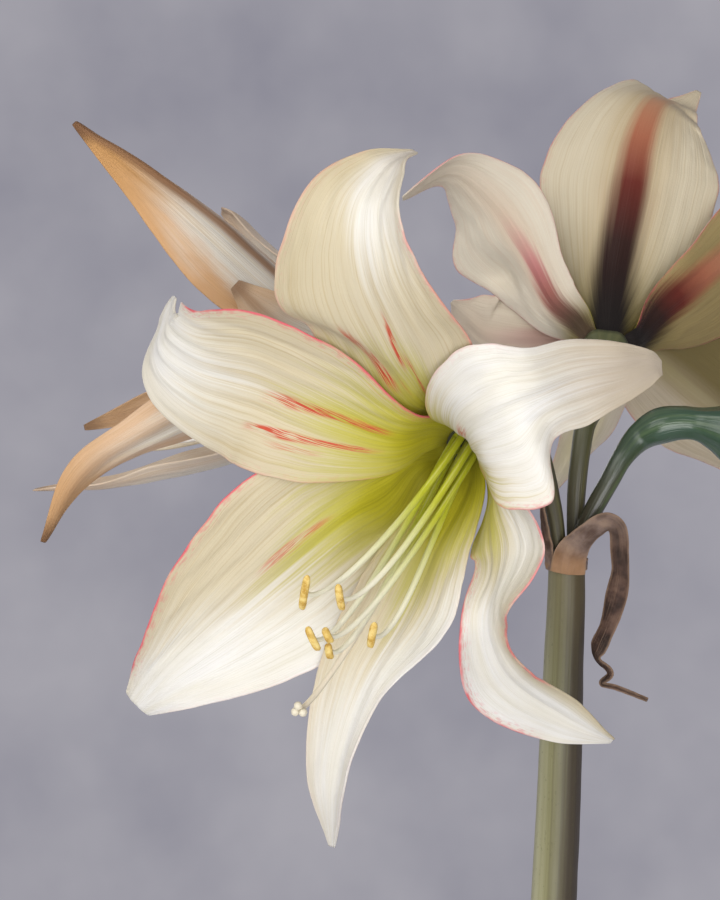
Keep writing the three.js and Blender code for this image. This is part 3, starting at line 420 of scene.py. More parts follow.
def blade_line(seat, ways, rows, t):
    """A blade's middle at t, the directions sideways and inwards there, and its widths and cup."""
    middle = point_in(seat, ways, along_rows(rows, t))
    ahead = point_in(seat, ways, along_rows(rows, clamp(t + 1e-3)))
    behind = point_in(seat, ways, along_rows(rows, clamp(t - 1e-3)))
    along = (ahead - behind).normalized()
    _, _, _, left, right, roll, cup = along_rows(rows, t)
    sideways = (ways[1] - along * ways[1].dot(along)).normalized()
    sideways.rotate(Matrix.Rotation(math.radians(-roll), 3, along))
    return middle, sideways, sideways.cross(along), left, right, cup


def bent_blade(seat, clock, rows, steps, across, wave, seed):
    """A blade's middle surface. It keeps its distances from both edges and the midrib, in millimetres."""
    bm = blade_bmesh(steps, across)
    ways = clockwise(seat, clock)
    layers = kept_on(bm, "from_left", "from_right", "aside", "along")
    lines = {}
    for vert in bm.verts:
        v, t = vert.co.x, clamp((vert.co.y + 1) / 2)
        row = round(t * steps)
        if row not in lines:
            lines[row] = blade_line(seat, ways, rows, t)
        middle, sideways, inwards, left, right, cup = lines[row]
        aside = v * (right if v > 0 else left)
        turn = 2 * math.pi * wave["count"] * t + wave["phase"] * (1 if v > 0 else 2)
        lift = wave["height"] * abs(v) ** 3 * math.sin(turn) * math.sin(math.pi * t)
        ragged = 1 + wave["ragged"] * (noise.noise(Vector((seed, 9 * t, 3 * (v > 0))))
                                       + noise.noise(Vector((seed, 31 * t, 5 * (v > 0)))))
        vert.co = middle + sideways * (aside * ragged) + inwards * (cup * v * v + lift)
        for layer, value in zip(layers, ((1 + v) * left, (1 - v) * right, aside, t)):
            vert[layer] = value
    bm.normal_update()
    return bm


def tucked(point, tree):
    """Moves a point of an outer tepal behind an inner neighbour that it would cross."""
    spot, normal, _, distance = tree.find_nearest(point)
    if distance > TUCK["reach"]:
        return point
    offset = point - spot
    ahead = offset.dot(normal)
    beside = math.sqrt(max(0.0, offset.length_squared - ahead ** 2))
    share = clamp(1 - beside / TUCK["fade"])
    return point - normal * (share * max(0.0, ahead + TUCK["clearance"]))


def veined(bm, seed, pleat=0.22, groove=0.55, frill=0.35):
    """Raises a petal's pleats, sinks its midrib and frills its edges, along its normals."""
    along = bm.verts.layers.float["along"]
    aside = bm.verts.layers.float["aside"]
    left = bm.verts.layers.float["from_left"]
    right = bm.verts.layers.float["from_right"]
    moves = {}
    for vert in bm.verts:
        t, across, width = vert[along], vert[aside], vert[left] + vert[right]
        edge = min(vert[left], vert[right])
        swell = math.sin(math.pi * clamp(t)) ** 0.6
        drift = 1.6 * noise.noise(Vector((seed, 2.2 * t, 0)))
        folds = math.sin(across * 1.05 + drift) + 0.6 * math.sin(across * 1.9 - 2 * drift + seed)
        lift = pleat * folds * swell * clamp(edge / 5)
        lift -= groove * math.exp(-(across / 1.7) ** 2) * (1 - 0.6 * t) * clamp(t * 8)
        lift += frill * clamp(1 - edge / (0.16 * width + 0.01)) * math.sin(23 * t + 2.3 * seed) * swell
        lift += 0.45 * noise.noise(vert.co * 0.09 + Vector((seed, 0, 0))) * clamp(t * 4)
        moves[vert] = vert.normal * lift
    for vert, move in moves.items():
        vert.co += move
    bm.normal_update()


def petals_of(name, bloom):
    """A bloom's six tepals as bmeshes. The first, third and fifth are outer, behind their neighbours."""
    seat = facing(bloom["throat"], bloom["axis"])
    sheets = []
    for i, (clock, rows) in enumerate(bloom["tepals"]):
        wave = {"height": TEPAL["wave"], "count": TEPAL["waves"], "phase": 1.7 * (i + 1), "ragged": 0.022}
        seed = 7 * len(name) + i
        sheets.append(bent_blade(seat, clock, rows, bloom["steps"], bloom["across"], wave, seed))
    trees = [BVHTree.FromBMesh(bm) for bm in sheets]
    for i in (0, 2, 4):
        along = sheets[i].verts.layers.float["along"]
        moves = []
        for vert in sheets[i].verts:
            place = vert.co.copy()
            # The first neighbour comes twice, because the second can push a point back through it.
            for k in ((i + 5) % 6, i + 1, (i + 5) % 6):
                place = tucked(place, trees[k])
            moves.append((place - vert.co) * clamp(vert[along] * 14))
        beside = [[edge.other_vert(vert).index for edge in vert.link_edges] for vert in sheets[i].verts]
        for _ in range(TUCK["rounds"]):
            moves = [(move + sum((moves[k] for k in near), Vector()) / len(near)) / 2
                     for move, near in zip(moves, beside)]
        for vert, move in zip(sheets[i].verts, moves):
            vert.co += move
        sheets[i].normal_update()
    for i, bm in enumerate(sheets):
        veined(bm, seed=3.1 * i + len(name))
    return sheets


# Rods: stalks, threads and the scape

def spaced(rows, steps):
    """Rows of place and radius at equal lengths along the smooth line through them."""
    fine = [along_rows(rows, k / (12 * steps)) for k in range(12 * steps + 1)]
    lengths = [0.0]
    for a, b in zip(fine, fine[1:]):
        lengths.append(lengths[-1] + (Vector(b[:3]) - Vector(a[:3])).length)
    picked, k = [], 0
    for i in range(steps + 1):
        while k < len(fine) - 2 and lengths[k + 1] < lengths[-1] * i / steps:
            k += 1
        gap = lengths[k + 1] - lengths[k]
        f = clamp((lengths[-1] * i / steps - lengths[k]) / gap) if gap else 0
        picked.append([p + (q - p) * f for p, q in zip(fine[k], fine[k + 1])])
    return picked


def heading(centres, k):
    """The direction of a line of points at its point k."""
    return (centres[min(k + 1, len(centres) - 1)] - centres[max(k - 1, 0)]).normalized()


def rod_bmesh(rows, sides, steps, shape=None):
    """A capped cylinder bent along rows of place and radius. shape(angle, share) widens its section."""
    bm = bmesh.new()
    bmesh.ops.create_cone(bm, cap_ends=True, segments=sides, radius1=1, radius2=1, depth=1)
    upright = [e for e in bm.edges if abs(e.verts[0].co.z - e.verts[1].co.z) > 0.5]
    bmesh.ops.subdivide_edges(bm, edges=upright, cuts=steps - 1, use_grid_fill=True)
    round_uvs(bm, -0.5, 1)
    line = spaced(rows, steps)
    centres = [Vector(row[:3]) for row in line]
    tangents = [heading(centres, k) for k in range(steps + 1)]
    first = tangents[0].orthogonal().normalized()
    normals = [first]
    for before, after in zip(tangents, tangents[1:]):
        turned = normals[-1].copy()
        turned.rotate(before.rotation_difference(after))
        normals.append((turned - after * turned.dot(after)).normalized())
    along, = kept_on(bm, "along")
    for vert in bm.verts:
        share = clamp(vert.co.z + 0.5)
        k = round(share * steps)
        angle = math.atan2(vert.co.y, vert.co.x)
        radius = line[k][3] * (shape(angle, share) if shape else 1)
        across = normals[k] * math.cos(angle) + tangents[k].cross(normals[k]) * math.sin(angle)
        vert.co = centres[k] + across * radius
        vert[along] = share
    bm.normal_update()
    return bm


def joined(parts):
    """Several bmeshes as one. Their faces keep their material numbers."""
    whole = bmesh.new()
    for bm in parts:
        mesh = bpy.data.meshes.new("part")
        bm.to_mesh(mesh)
        bm.free()
        whole.from_mesh(mesh)
        bpy.data.meshes.remove(mesh)
    return whole


def painted(bm, number):
    for face in bm.faces:
        face.material_index = number
    return bm


# Materials

class Finish:
    """One material's nodes, wired by short calls. A number or a colour may stand for a socket.

    colour is what has been laid so far. Stretch is a speckle's scale, one number or one for each axis.
    """

    def __init__(self, name):
        self.material = bpy.data.materials.new(name)
        self.material.use_nodes = True
        self.tree = self.material.node_tree
        self.tree.nodes.clear()

    def node(self, kind, inputs=None, **settings):
        made = self.tree.nodes.new(kind)
        for key, value in settings.items():
            setattr(made, key, value)
        for key, value in (inputs or {}).items():
            if isinstance(value, bpy.types.NodeSocket):
                self.tree.links.new(value, made.inputs[key])
            elif isinstance(value, tuple) and made.inputs[key].type == "RGBA":
                made.inputs[key].default_value = (*value, 1)
            else:
                made.inputs[key].default_value = value
        return made

    def uv(self):
        return self.node("ShaderNodeUVMap", uv_map="UVMap").outputs["UV"]

    def place(self):
        return self.node("ShaderNodeTexCoord").outputs["Object"]

    def over_petal(self):
        """The UV map, how far along the petal, and across it from the left (-1) to the right (1)."""
        uv = self.uv()
        u, v, _ = self.split(uv)
        return uv, v, self.minus(self.times(u, 2.0), 1.0)

    def split(self, vector):
        return self.node("ShaderNodeSeparateXYZ", {0: vector}).outputs

    def kept(self, name):
        return self.node("ShaderNodeAttribute", attribute_name=name).outputs["Fac"]

    def math(self, operation, first, second=0.0):
        return self.node("ShaderNodeMath", {0: first, 1: second}, operation=operation).outputs[0]

    def plus(self, first, second):
        return self.math("ADD", first, second)

    def minus(self, first, second):
        return self.math("SUBTRACT", first, second)

    def magnitude(self, value):
        return self.math("ABSOLUTE", value)

    def nearest_edge(self):
        return self.math("MINIMUM", self.kept("from_left"), self.kept("from_right"))

    def times(self, *values):
        total = values[0]
        for value in values[1:]:
            total = self.math("MULTIPLY", total, value)
        return total

    def span(self, value, low, high, start=0.0, end=1.0, kind="SMOOTHSTEP"):
        """Goes from start to end while the value goes from low to high."""
        inputs = {"Value": value, "From Min": low, "From Max": high, "To Min": start, "To Max": end}
        return self.node("ShaderNodeMapRange", inputs, interpolation_type=kind).outputs[0]

    def window(self, value, low, high, soft):
        return self.times(self.span(value, low, low + soft), self.span(value, high - soft, high, 1, 0))

    def speckle(self, vector, stretch, detail=3.0, roughness=0.55):
        scale = stretch if isinstance(stretch, tuple) else (stretch,) * 3
        scaled = self.node("ShaderNodeMapping", {"Vector": vector, "Scale": scale}).outputs[0]
        inputs = {"Vector": scaled, "Scale": 1.0, "Detail": detail, "Roughness": roughness}
        return self.node("ShaderNodeTexNoise", inputs).outputs[0]

    def mix(self, share, first, second):
        inputs = {0: share, 6: first, 7: second}
        return self.node("ShaderNodeMix", inputs, data_type="RGBA").outputs[2]

    def lay(self, colour, share):
        """Lays a colour over what is there, as far as share says."""
        self.colour = self.mix(share, self.colour, colour)

    def ramp(self, value, colours):
        made = self.node("ShaderNodeValToRGB", {0: value})
        stops = made.color_ramp.elements
        while len(stops) < len(colours):
            stops.new(0.5)
        for k, colour in enumerate(colours):
            stops[k].position = k / (len(colours) - 1)
            stops[k].color = (*colour, 1)
        return made.outputs[0]

    def bump(self, height, distance, strength=0.5):
        inputs = {"Height": height, "Distance": distance * MM, "Strength": strength}
        return self.node("ShaderNodeBump", inputs).outputs[0]

    def done(self, roughness, normal, specular, through=0.0, through_colour=None, sheen=0.0):
        """Wires the surface. through is the share of light that passes a thin skin, in its own colour."""
        inputs = {"Base Color": self.colour, "Roughness": roughness, "Normal": normal,
                  "Specular IOR Level": specular, "Sheen Weight": sheen}
        surface = self.node("ShaderNodeBsdfPrincipled", inputs).outputs[0]
        if through:
            lit = {"Color": through_colour or self.colour, "Normal": normal}
            glow = self.node("ShaderNodeBsdfTranslucent", lit).outputs[0]
            surface = self.node("ShaderNodeMixShader", {0: through, 1: surface, 2: glow}).outputs[0]
        self.node("ShaderNodeOutputMaterial", {"Surface": surface})
        return self.material


def petal_relief(f, uv):
    """The fine lengthwise veins of a petal, as a value and as a bump."""
    veins = f.speckle(uv, (95, 2.4, 1), 2)
    cells = f.speckle(f.place(), 1500, 1)
    folds = f.speckle(uv, (17, 1.6, 1), 2)
    height = f.plus(f.plus(f.times(veins, 0.7), f.times(folds, 1.2)), f.times(cells, 0.16))
    return veins, f.bump(height, 0.5, 0.55)


def zone(f, v, w, ends, soft):
    """A mask of 1 from the petal's base to where it ends on the left, in the middle and on the right."""
    left, middle, right = ends
    side = f.plus(f.times(f.math("GREATER_THAN", w, 0.0), right - left), left - middle)
    end = f.plus(f.times(f.math("POWER", f.magnitude(w), 0.7), side), middle)
    return f.span(f.minus(v, end), -soft, soft, 1, 0)


def pink_edge(f, uv, v, edge, strength, start=0.1, end=1.01, feather=0.5):
    """How pink a petal is along one edge: a thin broken line, feathered inwards by short dashes."""
    patchy = f.speckle(uv, (6, 30, 1), 3)
    away = f.plus(f.kept(edge), f.times(patchy, 1.5))
    along = f.window(v, start, end, 0.08)
    broken = f.span(f.speckle(uv, (3, 14, 1), 2), 0.34, 0.5, 0.35, 1)
    line = f.times(f.span(away, 0.7, 1.7, 1, 0), along, broken, strength)
    dashes = f.span(f.speckle(uv, (60, 60, 1), 2), 0.50, 0.62)
    hem = f.times(f.span(away, 0.8, 4.5, 1, 0), dashes, along, strength * feather)
    return f.math("MAXIMUM", line, hem)


def petal_face(name, look):
    """The inner face of a petal: lime throat, painted shade in beige on its sides and in tan towards its tip,
    red dashes, pink rims and fine veins.
    """
    f = Finish(name)
    uv, v, w = f.over_petal()
    veins, normal = petal_relief(f, uv)
    strands = f.minus(f.plus(veins, f.speckle(uv, (26, 1.2, 1), 2)), 1.0)
    streaky = f.plus(v, f.times(strands, 0.22))
    f.colour = f.mix(f.span(f.speckle(uv, (4, 3, 1), 2), 0.3, 0.7), CREAM, WHITE)
    f.lay((0.64, 0.60, 0.45), f.span(veins, 0.52, 0.7, 0, 0.3))
    f.lay((0.52, 0.48, 0.34), f.span(f.speckle(uv, (210, 3.5, 1), 2), 0.54, 0.64, 0, 0.22))
    # Painted shade: tan towards the petal's tip, from where tip says and as strong as it says.
    start, strength = look["tip"]
    if strength:
        f.lay(TIP_SHADE_TAN, f.span(streaky, start, start + 0.35, 0, strength))
    # Painted shade: beige laid over the left and right sides, as strong as edges says.
    for side, strength in zip((-1, 1), look["edges"]):
        if strength:
            f.lay(BEIGE_AND_SHADE, f.times(f.span(f.times(w, side), 0.3, 0.95), f.span(v, 0.2, 0.5), strength))
    # The beige zone: partly the petal's own beige between its lime throat and its white, partly painted
    # shade.
    beige = f.times(zone(f, streaky, w, look["beige"], 0.12), 0.8)
    f.lay(BEIGE_AND_SHADE, beige)
    f.lay((0.52, 0.40, 0.20), f.times(f.span(f.speckle(uv, (120, 3, 1), 2), 0.52, 0.64), beige, 0.55))
    f.lay(PALE_LIME, zone(f, streaky, w, look["pale"], 0.09))
    f.lay(LIME, zone(f, streaky, w, look["lime"], 0.10))
    # Darker lime along the veins in the throat: partly the throat's own deep green, partly painted shade.
    f.lay(DEEP_LIME_AND_SHADE, f.times(f.span(veins, 0.42, 0.66, 0, 0.8), zone(f, v, w, look["lime"], 0.1)))
    dashes = f.span(f.speckle(uv, (150, 16, 1), 2), 0.42, 0.54)
    for first, last, start, end, half, strength in look["streaks"]:
        middle = f.magnitude(f.minus(w, f.span(v, start, end, first, last, "LINEAR")))
        wander = f.plus(middle, f.times(f.minus(f.speckle(uv, (3, 9, 1), 1), 0.5), 0.10))
        band = f.times(f.span(wander, half * 0.4, half * 1.1, 1, 0), f.window(v, start, end, 0.06))
        f.lay(RED, f.times(band, dashes, strength))
    for edge, (strength, start, end) in zip(("from_left", "from_right"), look["rims"]):
        f.lay(PINK, pink_edge(f, uv, v, edge, strength, start, end))
    return f.done(0.48, normal, through=0.3, specular=0.3, sheen=0.05)


def petal_back(name, look):
    """The outer face of a petal: olive at its foot, with a rib that fades towards its tip."""
    f = Finish(name)
    uv, v, w = f.over_petal()
    veins, normal = petal_relief(f, uv)
    f.colour = f.mix(f.times(f.span(veins, 0.45, 0.68), 0.35), look["skin"], look["shade"])
    unevenness = f.times(f.minus(f.speckle(uv, (22, 2, 1), 3), 0.5), 5.0)
    wander = f.plus(f.magnitude(f.kept("aside")), unevenness)
    f.lay(look["shade"], f.times(f.span(wander, 1, look["spread"], 0.8, 0), f.span(v, 0.6, 0.95, 1, 0.2)))
    # Painted shade: dark olive laid over the left or right side, as strong as sides says.
    for side, strength in zip((-1, 1), look["sides"]):
        if strength:
            f.lay(SHADED_SIDE, f.span(f.times(w, side), -0.1, 0.35, 0, strength))
    f.lay(OLIVE, f.span(v, 0.05, look["foot_reach"], 0.95, 0))
    rib = look["rib"]
    narrowed = f.math("DIVIDE", wander, f.span(v, 0.1, 0.8, 1, 0.5))
    core = f.times(f.span(narrowed, rib["width"] * 0.3, rib["width"], 1, 0),
                   f.span(v, rib["reach"] - 0.3, rib["reach"], 1, 0), rib["strength"])
    f.lay(f.ramp(f.span(v, 0.08, 0.72), rib["colours"]), core)
    for edge, strength in zip(("from_left", "from_right"), look["rims"]):
        f.lay(PINK, pink_edge(f, uv, v, edge, strength, feather=0.3))
    return f.done(0.5, normal, through=0.3, specular=0.3, sheen=0.05)


def fading_petal(name, dry, rib_strength, foot):
    """A fading petal: white in its middle, tan and orange towards its edges and tip, with a brown rib."""
    f = Finish(name)
    uv = f.uv()
    _, v, _ = f.split(uv)
    veins, normal = petal_relief(f, uv)
    cloudy = f.speckle(uv, (5, 4, 1), 4)
    blotches = f.minus(cloudy, 0.5)
    ragged = f.plus(f.nearest_edge(), f.times(blotches, 16.0))
    f.colour = f.mix(f.times(f.span(veins, 0.42, 0.66), 0.45), (0.80, 0.76, 0.66), (0.66, 0.54, 0.34))
    f.lay(foot, f.span(f.plus(v, f.times(blotches, 0.3)), 0.12, 0.46, 0.9, 0))
    f.lay((0.66, 0.40, 0.20), f.span(ragged, 1.0, 10.0, dry, 0))
    f.lay((0.52, 0.28, 0.10), f.span(f.plus(v, f.times(cloudy, 0.3)), 0.78, 1.06, 0, dry))
    f.lay((0.12, 0.055, 0.025), f.span(v, 0.93, 0.99, 0, dry))
    wander = f.plus(f.magnitude(f.kept("aside")), f.times(cloudy, 2.0))
    f.lay((0.26, 0.13, 0.06), f.span(wander, 1.2, 4.2, rib_strength, 0))
    f.lay((0.42, 0.26, 0.13), f.span(f.speckle(uv, (140, 4, 1), 2), 0.55, 0.66, 0, 0.35))
    return f.done(0.62, normal, through=0.22, specular=0.25)


def thread_finish(name, low, high, reach):
    """A filament or a style: one colour at its root, another towards its end."""
    f = Finish(name)
    ridges = f.speckle(f.uv(), (9, 3, 1), 2)
    f.colour = f.mix(f.span(f.kept("along"), 0.3, reach), low, high)
    f.lay(high, f.span(ridges, 0.5, 0.7, 0, 0.3))
    return f.done(0.42, f.bump(ridges, 0.15), through=0.2, specular=0.4)


def pollen_finish():
    f = Finish("pollen")
    grains = f.speckle(f.place(), 2600, 3, 0.7)
    broad = f.speckle(f.place(), 420, 2)
    f.colour = f.ramp(f.span(broad, 0.3, 0.7), [(0.46, 0.27, 0.05), (0.64, 0.44, 0.12), (0.74, 0.58, 0.22)])
    f.lay((0.80, 0.66, 0.32), f.span(grains, 0.56, 0.7))
    return f.done(0.9, f.bump(grains, 0.35, 0.9), specular=0.15)


def stalk_finish(name, low, high, glossy, light):
    """A flower stalk: ribbed green skin with lighter lengthwise bands."""
    f = Finish(name)
    uv = f.uv()
    bands = f.speckle(uv, (9, 1.1, 1), 2)
    fine = f.speckle(uv, (60, 2.5, 1), 2)
    f.colour = f.mix(f.span(f.kept("along"), 0.1, 0.75), low, high)
    f.lay(light, f.span(bands, 0.45, 0.7, 0, 0.5))
    f.lay((0.03, 0.05, 0.02), f.span(fine, 0.5, 0.75, 0, 0.25))
    roughness = f.span(fine, 0.2, 0.9, glossy - 0.06, glossy + 0.12)
    return f.done(roughness, f.bump(f.plus(bands, fine), 0.4, 0.4), specular=0.5)


def scape_finish():
    """The scape: olive with lengthwise stripes, with painted light on its left side and painted shade in dark
    brown on its right.
    """
    f = Finish("scape_skin")
    place = f.place()
    x, _, z = f.split(place)
    stripes = f.speckle(f.uv(), (34, 2.0, 1), 3)
    bloom = f.speckle(place, (60, 60, 22), 4)
    dots = f.speckle(place, (900, 900, 500), 2)
    # Painted light and shade: side runs from -1 on the scape's left to 1 on its right, and the ramp goes from
    # pale olive to dark brown across it.
    lean = f.times(f.minus(z, 0.15), 0.037)
    side = f.times(f.minus(x, lean), 130.0)
    uneven = f.plus(side, f.times(f.minus(stripes, 0.5), 0.7))
    f.colour = f.ramp(f.span(uneven, -1.0, 1.0),
                      [(0.34, 0.33, 0.20), (0.19, 0.18, 0.085), (0.12, 0.11, 0.05), (0.07, 0.058, 0.03),
                       (0.045, 0.034, 0.022)])
    f.lay((0.17, 0.20, 0.06), f.span(z, 0.10, 0.40, 0.45, 0))
    f.lay((0.20, 0.18, 0.11), f.span(bloom, 0.45, 0.75, 0, 0.25))
    f.lay((0.08, 0.075, 0.03), f.span(dots, 0.62, 0.7, 0, 0.3))
    f.lay((0.10, 0.075, 0.035), f.span(z, 0.515, 0.555, 0, 0.5))
    roughness = f.span(bloom, 0.3, 0.75, 0.4, 0.62)
    return f.done(roughness, f.bump(f.plus(stripes, f.times(dots, 0.4)), 0.35, 0.4), specular=0.4)


def leaf_finish():
    """A strap leaf: green with pale veins and midrib, paler at its foot, with a thin red-brown rim."""
    f = Finish("leaf_blade")
    uv = f.uv()
    _, v, _ = f.split(uv)
    veins = f.speckle(uv, (70, 1.5, 1), 2)
    cloudy = f.speckle(f.place(), 35, 4)
    f.colour = f.ramp(f.span(cloudy, 0.3, 0.7),
                      [(0.045, 0.12, 0.022), (0.075, 0.175, 0.032), (0.12, 0.23, 0.05)])
    f.lay((0.16, 0.28, 0.07), f.span(veins, 0.45, 0.7, 0, 0.4))
    f.lay((0.22, 0.32, 0.10), f.span(f.magnitude(f.kept("aside")), 0.4, 2.6, 0.5, 0))
    f.lay((0.42, 0.46, 0.20), f.span(v, 0.0, 0.22, 0.9, 0))
    f.lay((0.30, 0.14, 0.08), f.span(f.nearest_edge(), 0.2, 0.9, 0.5, 0))
    f.lay((0.34, 0.24, 0.08), f.span(v, 0.955, 1.0, 0, 0.8))
    roughness = f.span(cloudy, 0.3, 0.7, 0.3, 0.46)
    return f.done(roughness, f.bump(f.plus(veins, f.times(cloudy, 0.5)), 0.5, 0.4), through=0.12,
                  through_colour=(0.20, 0.42, 0.05), specular=0.5)


def spathe_finish():
    """Withered sheath: orange-tan at its collar, grey-tan over the arch, dark brown where it hangs."""
    f = Finish("withered_spathe")
    along = f.kept("along")
    fibres = f.speckle(f.uv(), (16, 5, 1), 4)
    cloudy = f.speckle(f.place(), 160, 4)
    patches = f.span(cloudy, 0.3, 0.72)
    dark = f.ramp(patches, [(0.02, 0.011, 0.007), (0.06, 0.032, 0.022), (0.13, 0.075, 0.05)])
    pale = f.ramp(patches, [(0.09, 0.055, 0.04), (0.20, 0.14, 0.11), (0.30, 0.21, 0.15)])
    f.colour = f.mix(f.span(along, 0.2, 0.36, 1, 0), dark, pale)
    f.lay((0.38, 0.21, 0.10), f.span(along, 0.02, 0.12, 0.8, 0))
    f.lay((0.26, 0.16, 0.10), f.span(fibres, 0.5, 0.7, 0, 0.35))
    f.lay((0.42, 0.28, 0.18), f.span(f.nearest_edge(), 0.1, 0.9, 0.5, 0))
    return f.done(0.66, f.bump(f.plus(fibres, cloudy), 0.5, 0.7), through=0.12,
                  through_colour=(0.5, 0.22, 0.08), specular=0.3)


def terracotta_finish():
    """Fired clay with clouds of colour, lime stains towards the top and fine throwing marks."""
    f = Finish("terracotta")
    place = f.place()
    _, _, z = f.split(place)
    grain = f.speckle(place, 620, 4)
    cloudy = f.speckle(place, (14, 14, 20), 5)
    throwing = f.speckle(place, (3, 3, 330), 2)
    f.colour = f.ramp(f.span(cloudy, 0.3, 0.7),
                      [(0.36, 0.125, 0.055), (0.47, 0.175, 0.078), (0.56, 0.24, 0.12)])
    stains = f.span(f.speckle(place, (26, 26, 40), 5, 0.7), 0.54, 0.72)
    f.lay((0.66, 0.52, 0.42), f.times(stains, f.span(z, 0.02, 0.13, 0.25, 0.6)))
    f.lay((0.22, 0.075, 0.035), f.span(grain, 0.58, 0.72, 0, 0.35))
    f.lay((0.20, 0.09, 0.05), f.span(z, 0.0, 0.03, 0.45, 0))
    height = f.plus(f.times(grain, 0.6), f.times(throwing, 0.9))
    return f.done(f.span(cloudy, 0.3, 0.7, 0.78, 0.92), f.bump(height, 0.4, 0.5), specular=0.25)


def soil_finish(name, colours):
    """Potting mix, bark or perlite: crumbly and matt."""
    f = Finish(name)
    crumbs = f.speckle(f.place(), 420, 4, 0.7)
    fine = f.speckle(f.place(), 1900, 2)
    f.colour = f.ramp(f.span(crumbs, 0.3, 0.7), colours)
    height = f.plus(crumbs, f.times(fine, 0.5))
    return f.done(0.95, f.bump(height, 1.0, 0.8), specular=0.2)


def tunic_finish():
    """The bulb's papery skin, with dark fibres that run up it."""
    f = Finish("bulb_tunic")
    fibres = f.speckle(f.uv(), (110, 2.2, 1), 3)
    cloudy = f.speckle(f.place(), (45, 45, 28), 5)
    f.colour = f.ramp(f.span(cloudy, 0.28, 0.72),
                      [(0.075, 0.028, 0.012), (0.20, 0.080, 0.028), (0.40, 0.20, 0.075), (0.55, 0.34, 0.16)])
    f.lay((0.11, 0.045, 0.02), f.span(fibres, 0.5, 0.68, 0, 0.55))
    height = f.plus(fibres, f.times(cloudy, 0.6))
    return f.done(f.span(cloudy, 0.3, 0.7, 0.38, 0.6), f.bump(height, 0.6, 0.6), through=0.06,
                  through_colour=(0.5, 0.2, 0.06), specular=0.45)


def floor_finish():
    f = Finish("pale_floor")
    cloudy = f.speckle(f.place(), 3, 4)
    f.colour = f.mix(f.span(cloudy, 0.3, 0.7), (0.55, 0.55, 0.60), (0.61, 0.61, 0.66))
    return f.done(0.75, f.bump(f.speckle(f.place(), 300, 2), 0.2, 0.2), specular=0.25)


# Pieces

def make_petals():
    plain_back = petal_back("petal_back_plain", PLAIN_BACK)
    for name, bloom in BLOOMS.items():
        for i, bm in enumerate(petals_of(name, bloom)):
            label = f"bloom_{name}_tepal_{i + 1}"
            if name == "front":
                finishes = [petal_face(label + "_face", FRONT_LOOKS[i]), plain_back]
            elif name == "left":
                finishes = [fading_petal(label + side, *FADING[i]) for side in ("_face", "_back")]
            else:
                look = BACK_LOOKS[i] if name == "back" else BACK_LOOKS[5 if i % 2 == 0 else 3]
                finishes = [petal_face(label + "_face", OTHER_LOOK), petal_back(label + "_back", look)]
            piece = finished(label + "_petal", bm, finishes, label)
            thickened(piece, TEPAL["thickness"], second_face=True)


def stalk_section(angle, share):
    """Three swollen lobes where the ovary is, and six low ribs on the tube after it."""
    ovary = math.exp(-((share - 0.62) / 0.12) ** 2)
    tube = clamp((share - 0.72) / 0.15)
    return 1 + 0.075 * ovary * math.cos(3 * angle) + 0.045 * tube * math.cos(6 * angle)


def make_stalks():
    dull = stalk_finish("stalk_skin", (0.050, 0.042, 0.020), (0.065, 0.07, 0.024), 0.4, (0.15, 0.14, 0.06))
    glossy = stalk_finish("stalk_skin_glossy", (0.05, 0.042, 0.025), (0.035, 0.07, 0.04), 0.18,
                          (0.11, 0.16, 0.07))
    for name, bloom in BLOOMS.items():
        seat = facing(bloom["throat"], bloom["axis"])
        rows = [(*place, radius) for place, radius in zip(bloom["stalk"], PEDICEL_RADII)]
        for behind, radius in OVARY:
            place = seat["origin"] - seat["ahead"] * behind
            place.z -= bloom.get("sag", 0) * (behind / OVARY[0][0]) ** 3
            rows.append((*place, radius))
        bm = rod_bmesh(rows, sides=36, steps=60, shape=stalk_section)
        label = f"bloom_{name}_stalk"
        finished(label + "_skin", bm, [glossy if name == "right" else dull], label)


def thread_rows(seat, ways, root, end, shoulder, hook, radii, count=14):
    """Rows of place and radius along a thread that droops from its root and turns up into its tip."""
    rise = [a + b for a, b in zip(root, shoulder)]
    bend = [a + b for a, b in zip(end, hook)]
    rows = []
    for k in range(count + 1):
        t = k / count
        weights = ((1 - t) ** 3, 3 * t * (1 - t) ** 2, 3 * t * t * (1 - t), t ** 3)
        place = [sum(w * p[axis] for w, p in zip(weights, (root, rise, bend, end))) for axis in range(3)]
        rows.append((*point_in(seat, ways, place), radii[0] + (radii[1] - radii[0]) * t))
    return rows


def anther_bmesh(seat, place, length, turn):
    """A pollen-covered anther: a long grain with a groove along its face, slightly bowed."""
    bm = bmesh.new()
    bmesh.ops.create_uvsphere(bm, u_segments=20, v_segments=16, radius=0.5)
    for vert in bm.verts:
        x, y, z = vert.co
        groove = 0.10 * math.exp(-(x / 0.11) ** 2) * (1 if y < 0 else 0)
        grain = 0.035 * noise.noise(Vector((9 * x, 9 * y, 14 * z + turn)))
        blunt = math.sqrt(1 + 4 * z * z + 16 * z ** 4) + grain
        vert.co = Vector((x * 2.3 * blunt, (y + groove) * 1.9 * blunt + 1.6 * z * z, z * length))
    upright = seat["up"].copy()
    upright.rotate(Matrix.Rotation(0.35 * math.sin(2.1 * turn), 3, seat["ahead"]))
    aside = upright.cross(seat["ahead"]).normalized()
    inward = aside.cross(upright)
    basis = Matrix((aside, -inward, upright)).transposed()
    for vert in bm.verts:
        vert.co = place + basis @ vert.co
    if basis.determinant() < 0:
        bmesh.ops.reverse_faces(bm, faces=bm.faces)
    bm.normal_update()
    return painted(bm, 1)


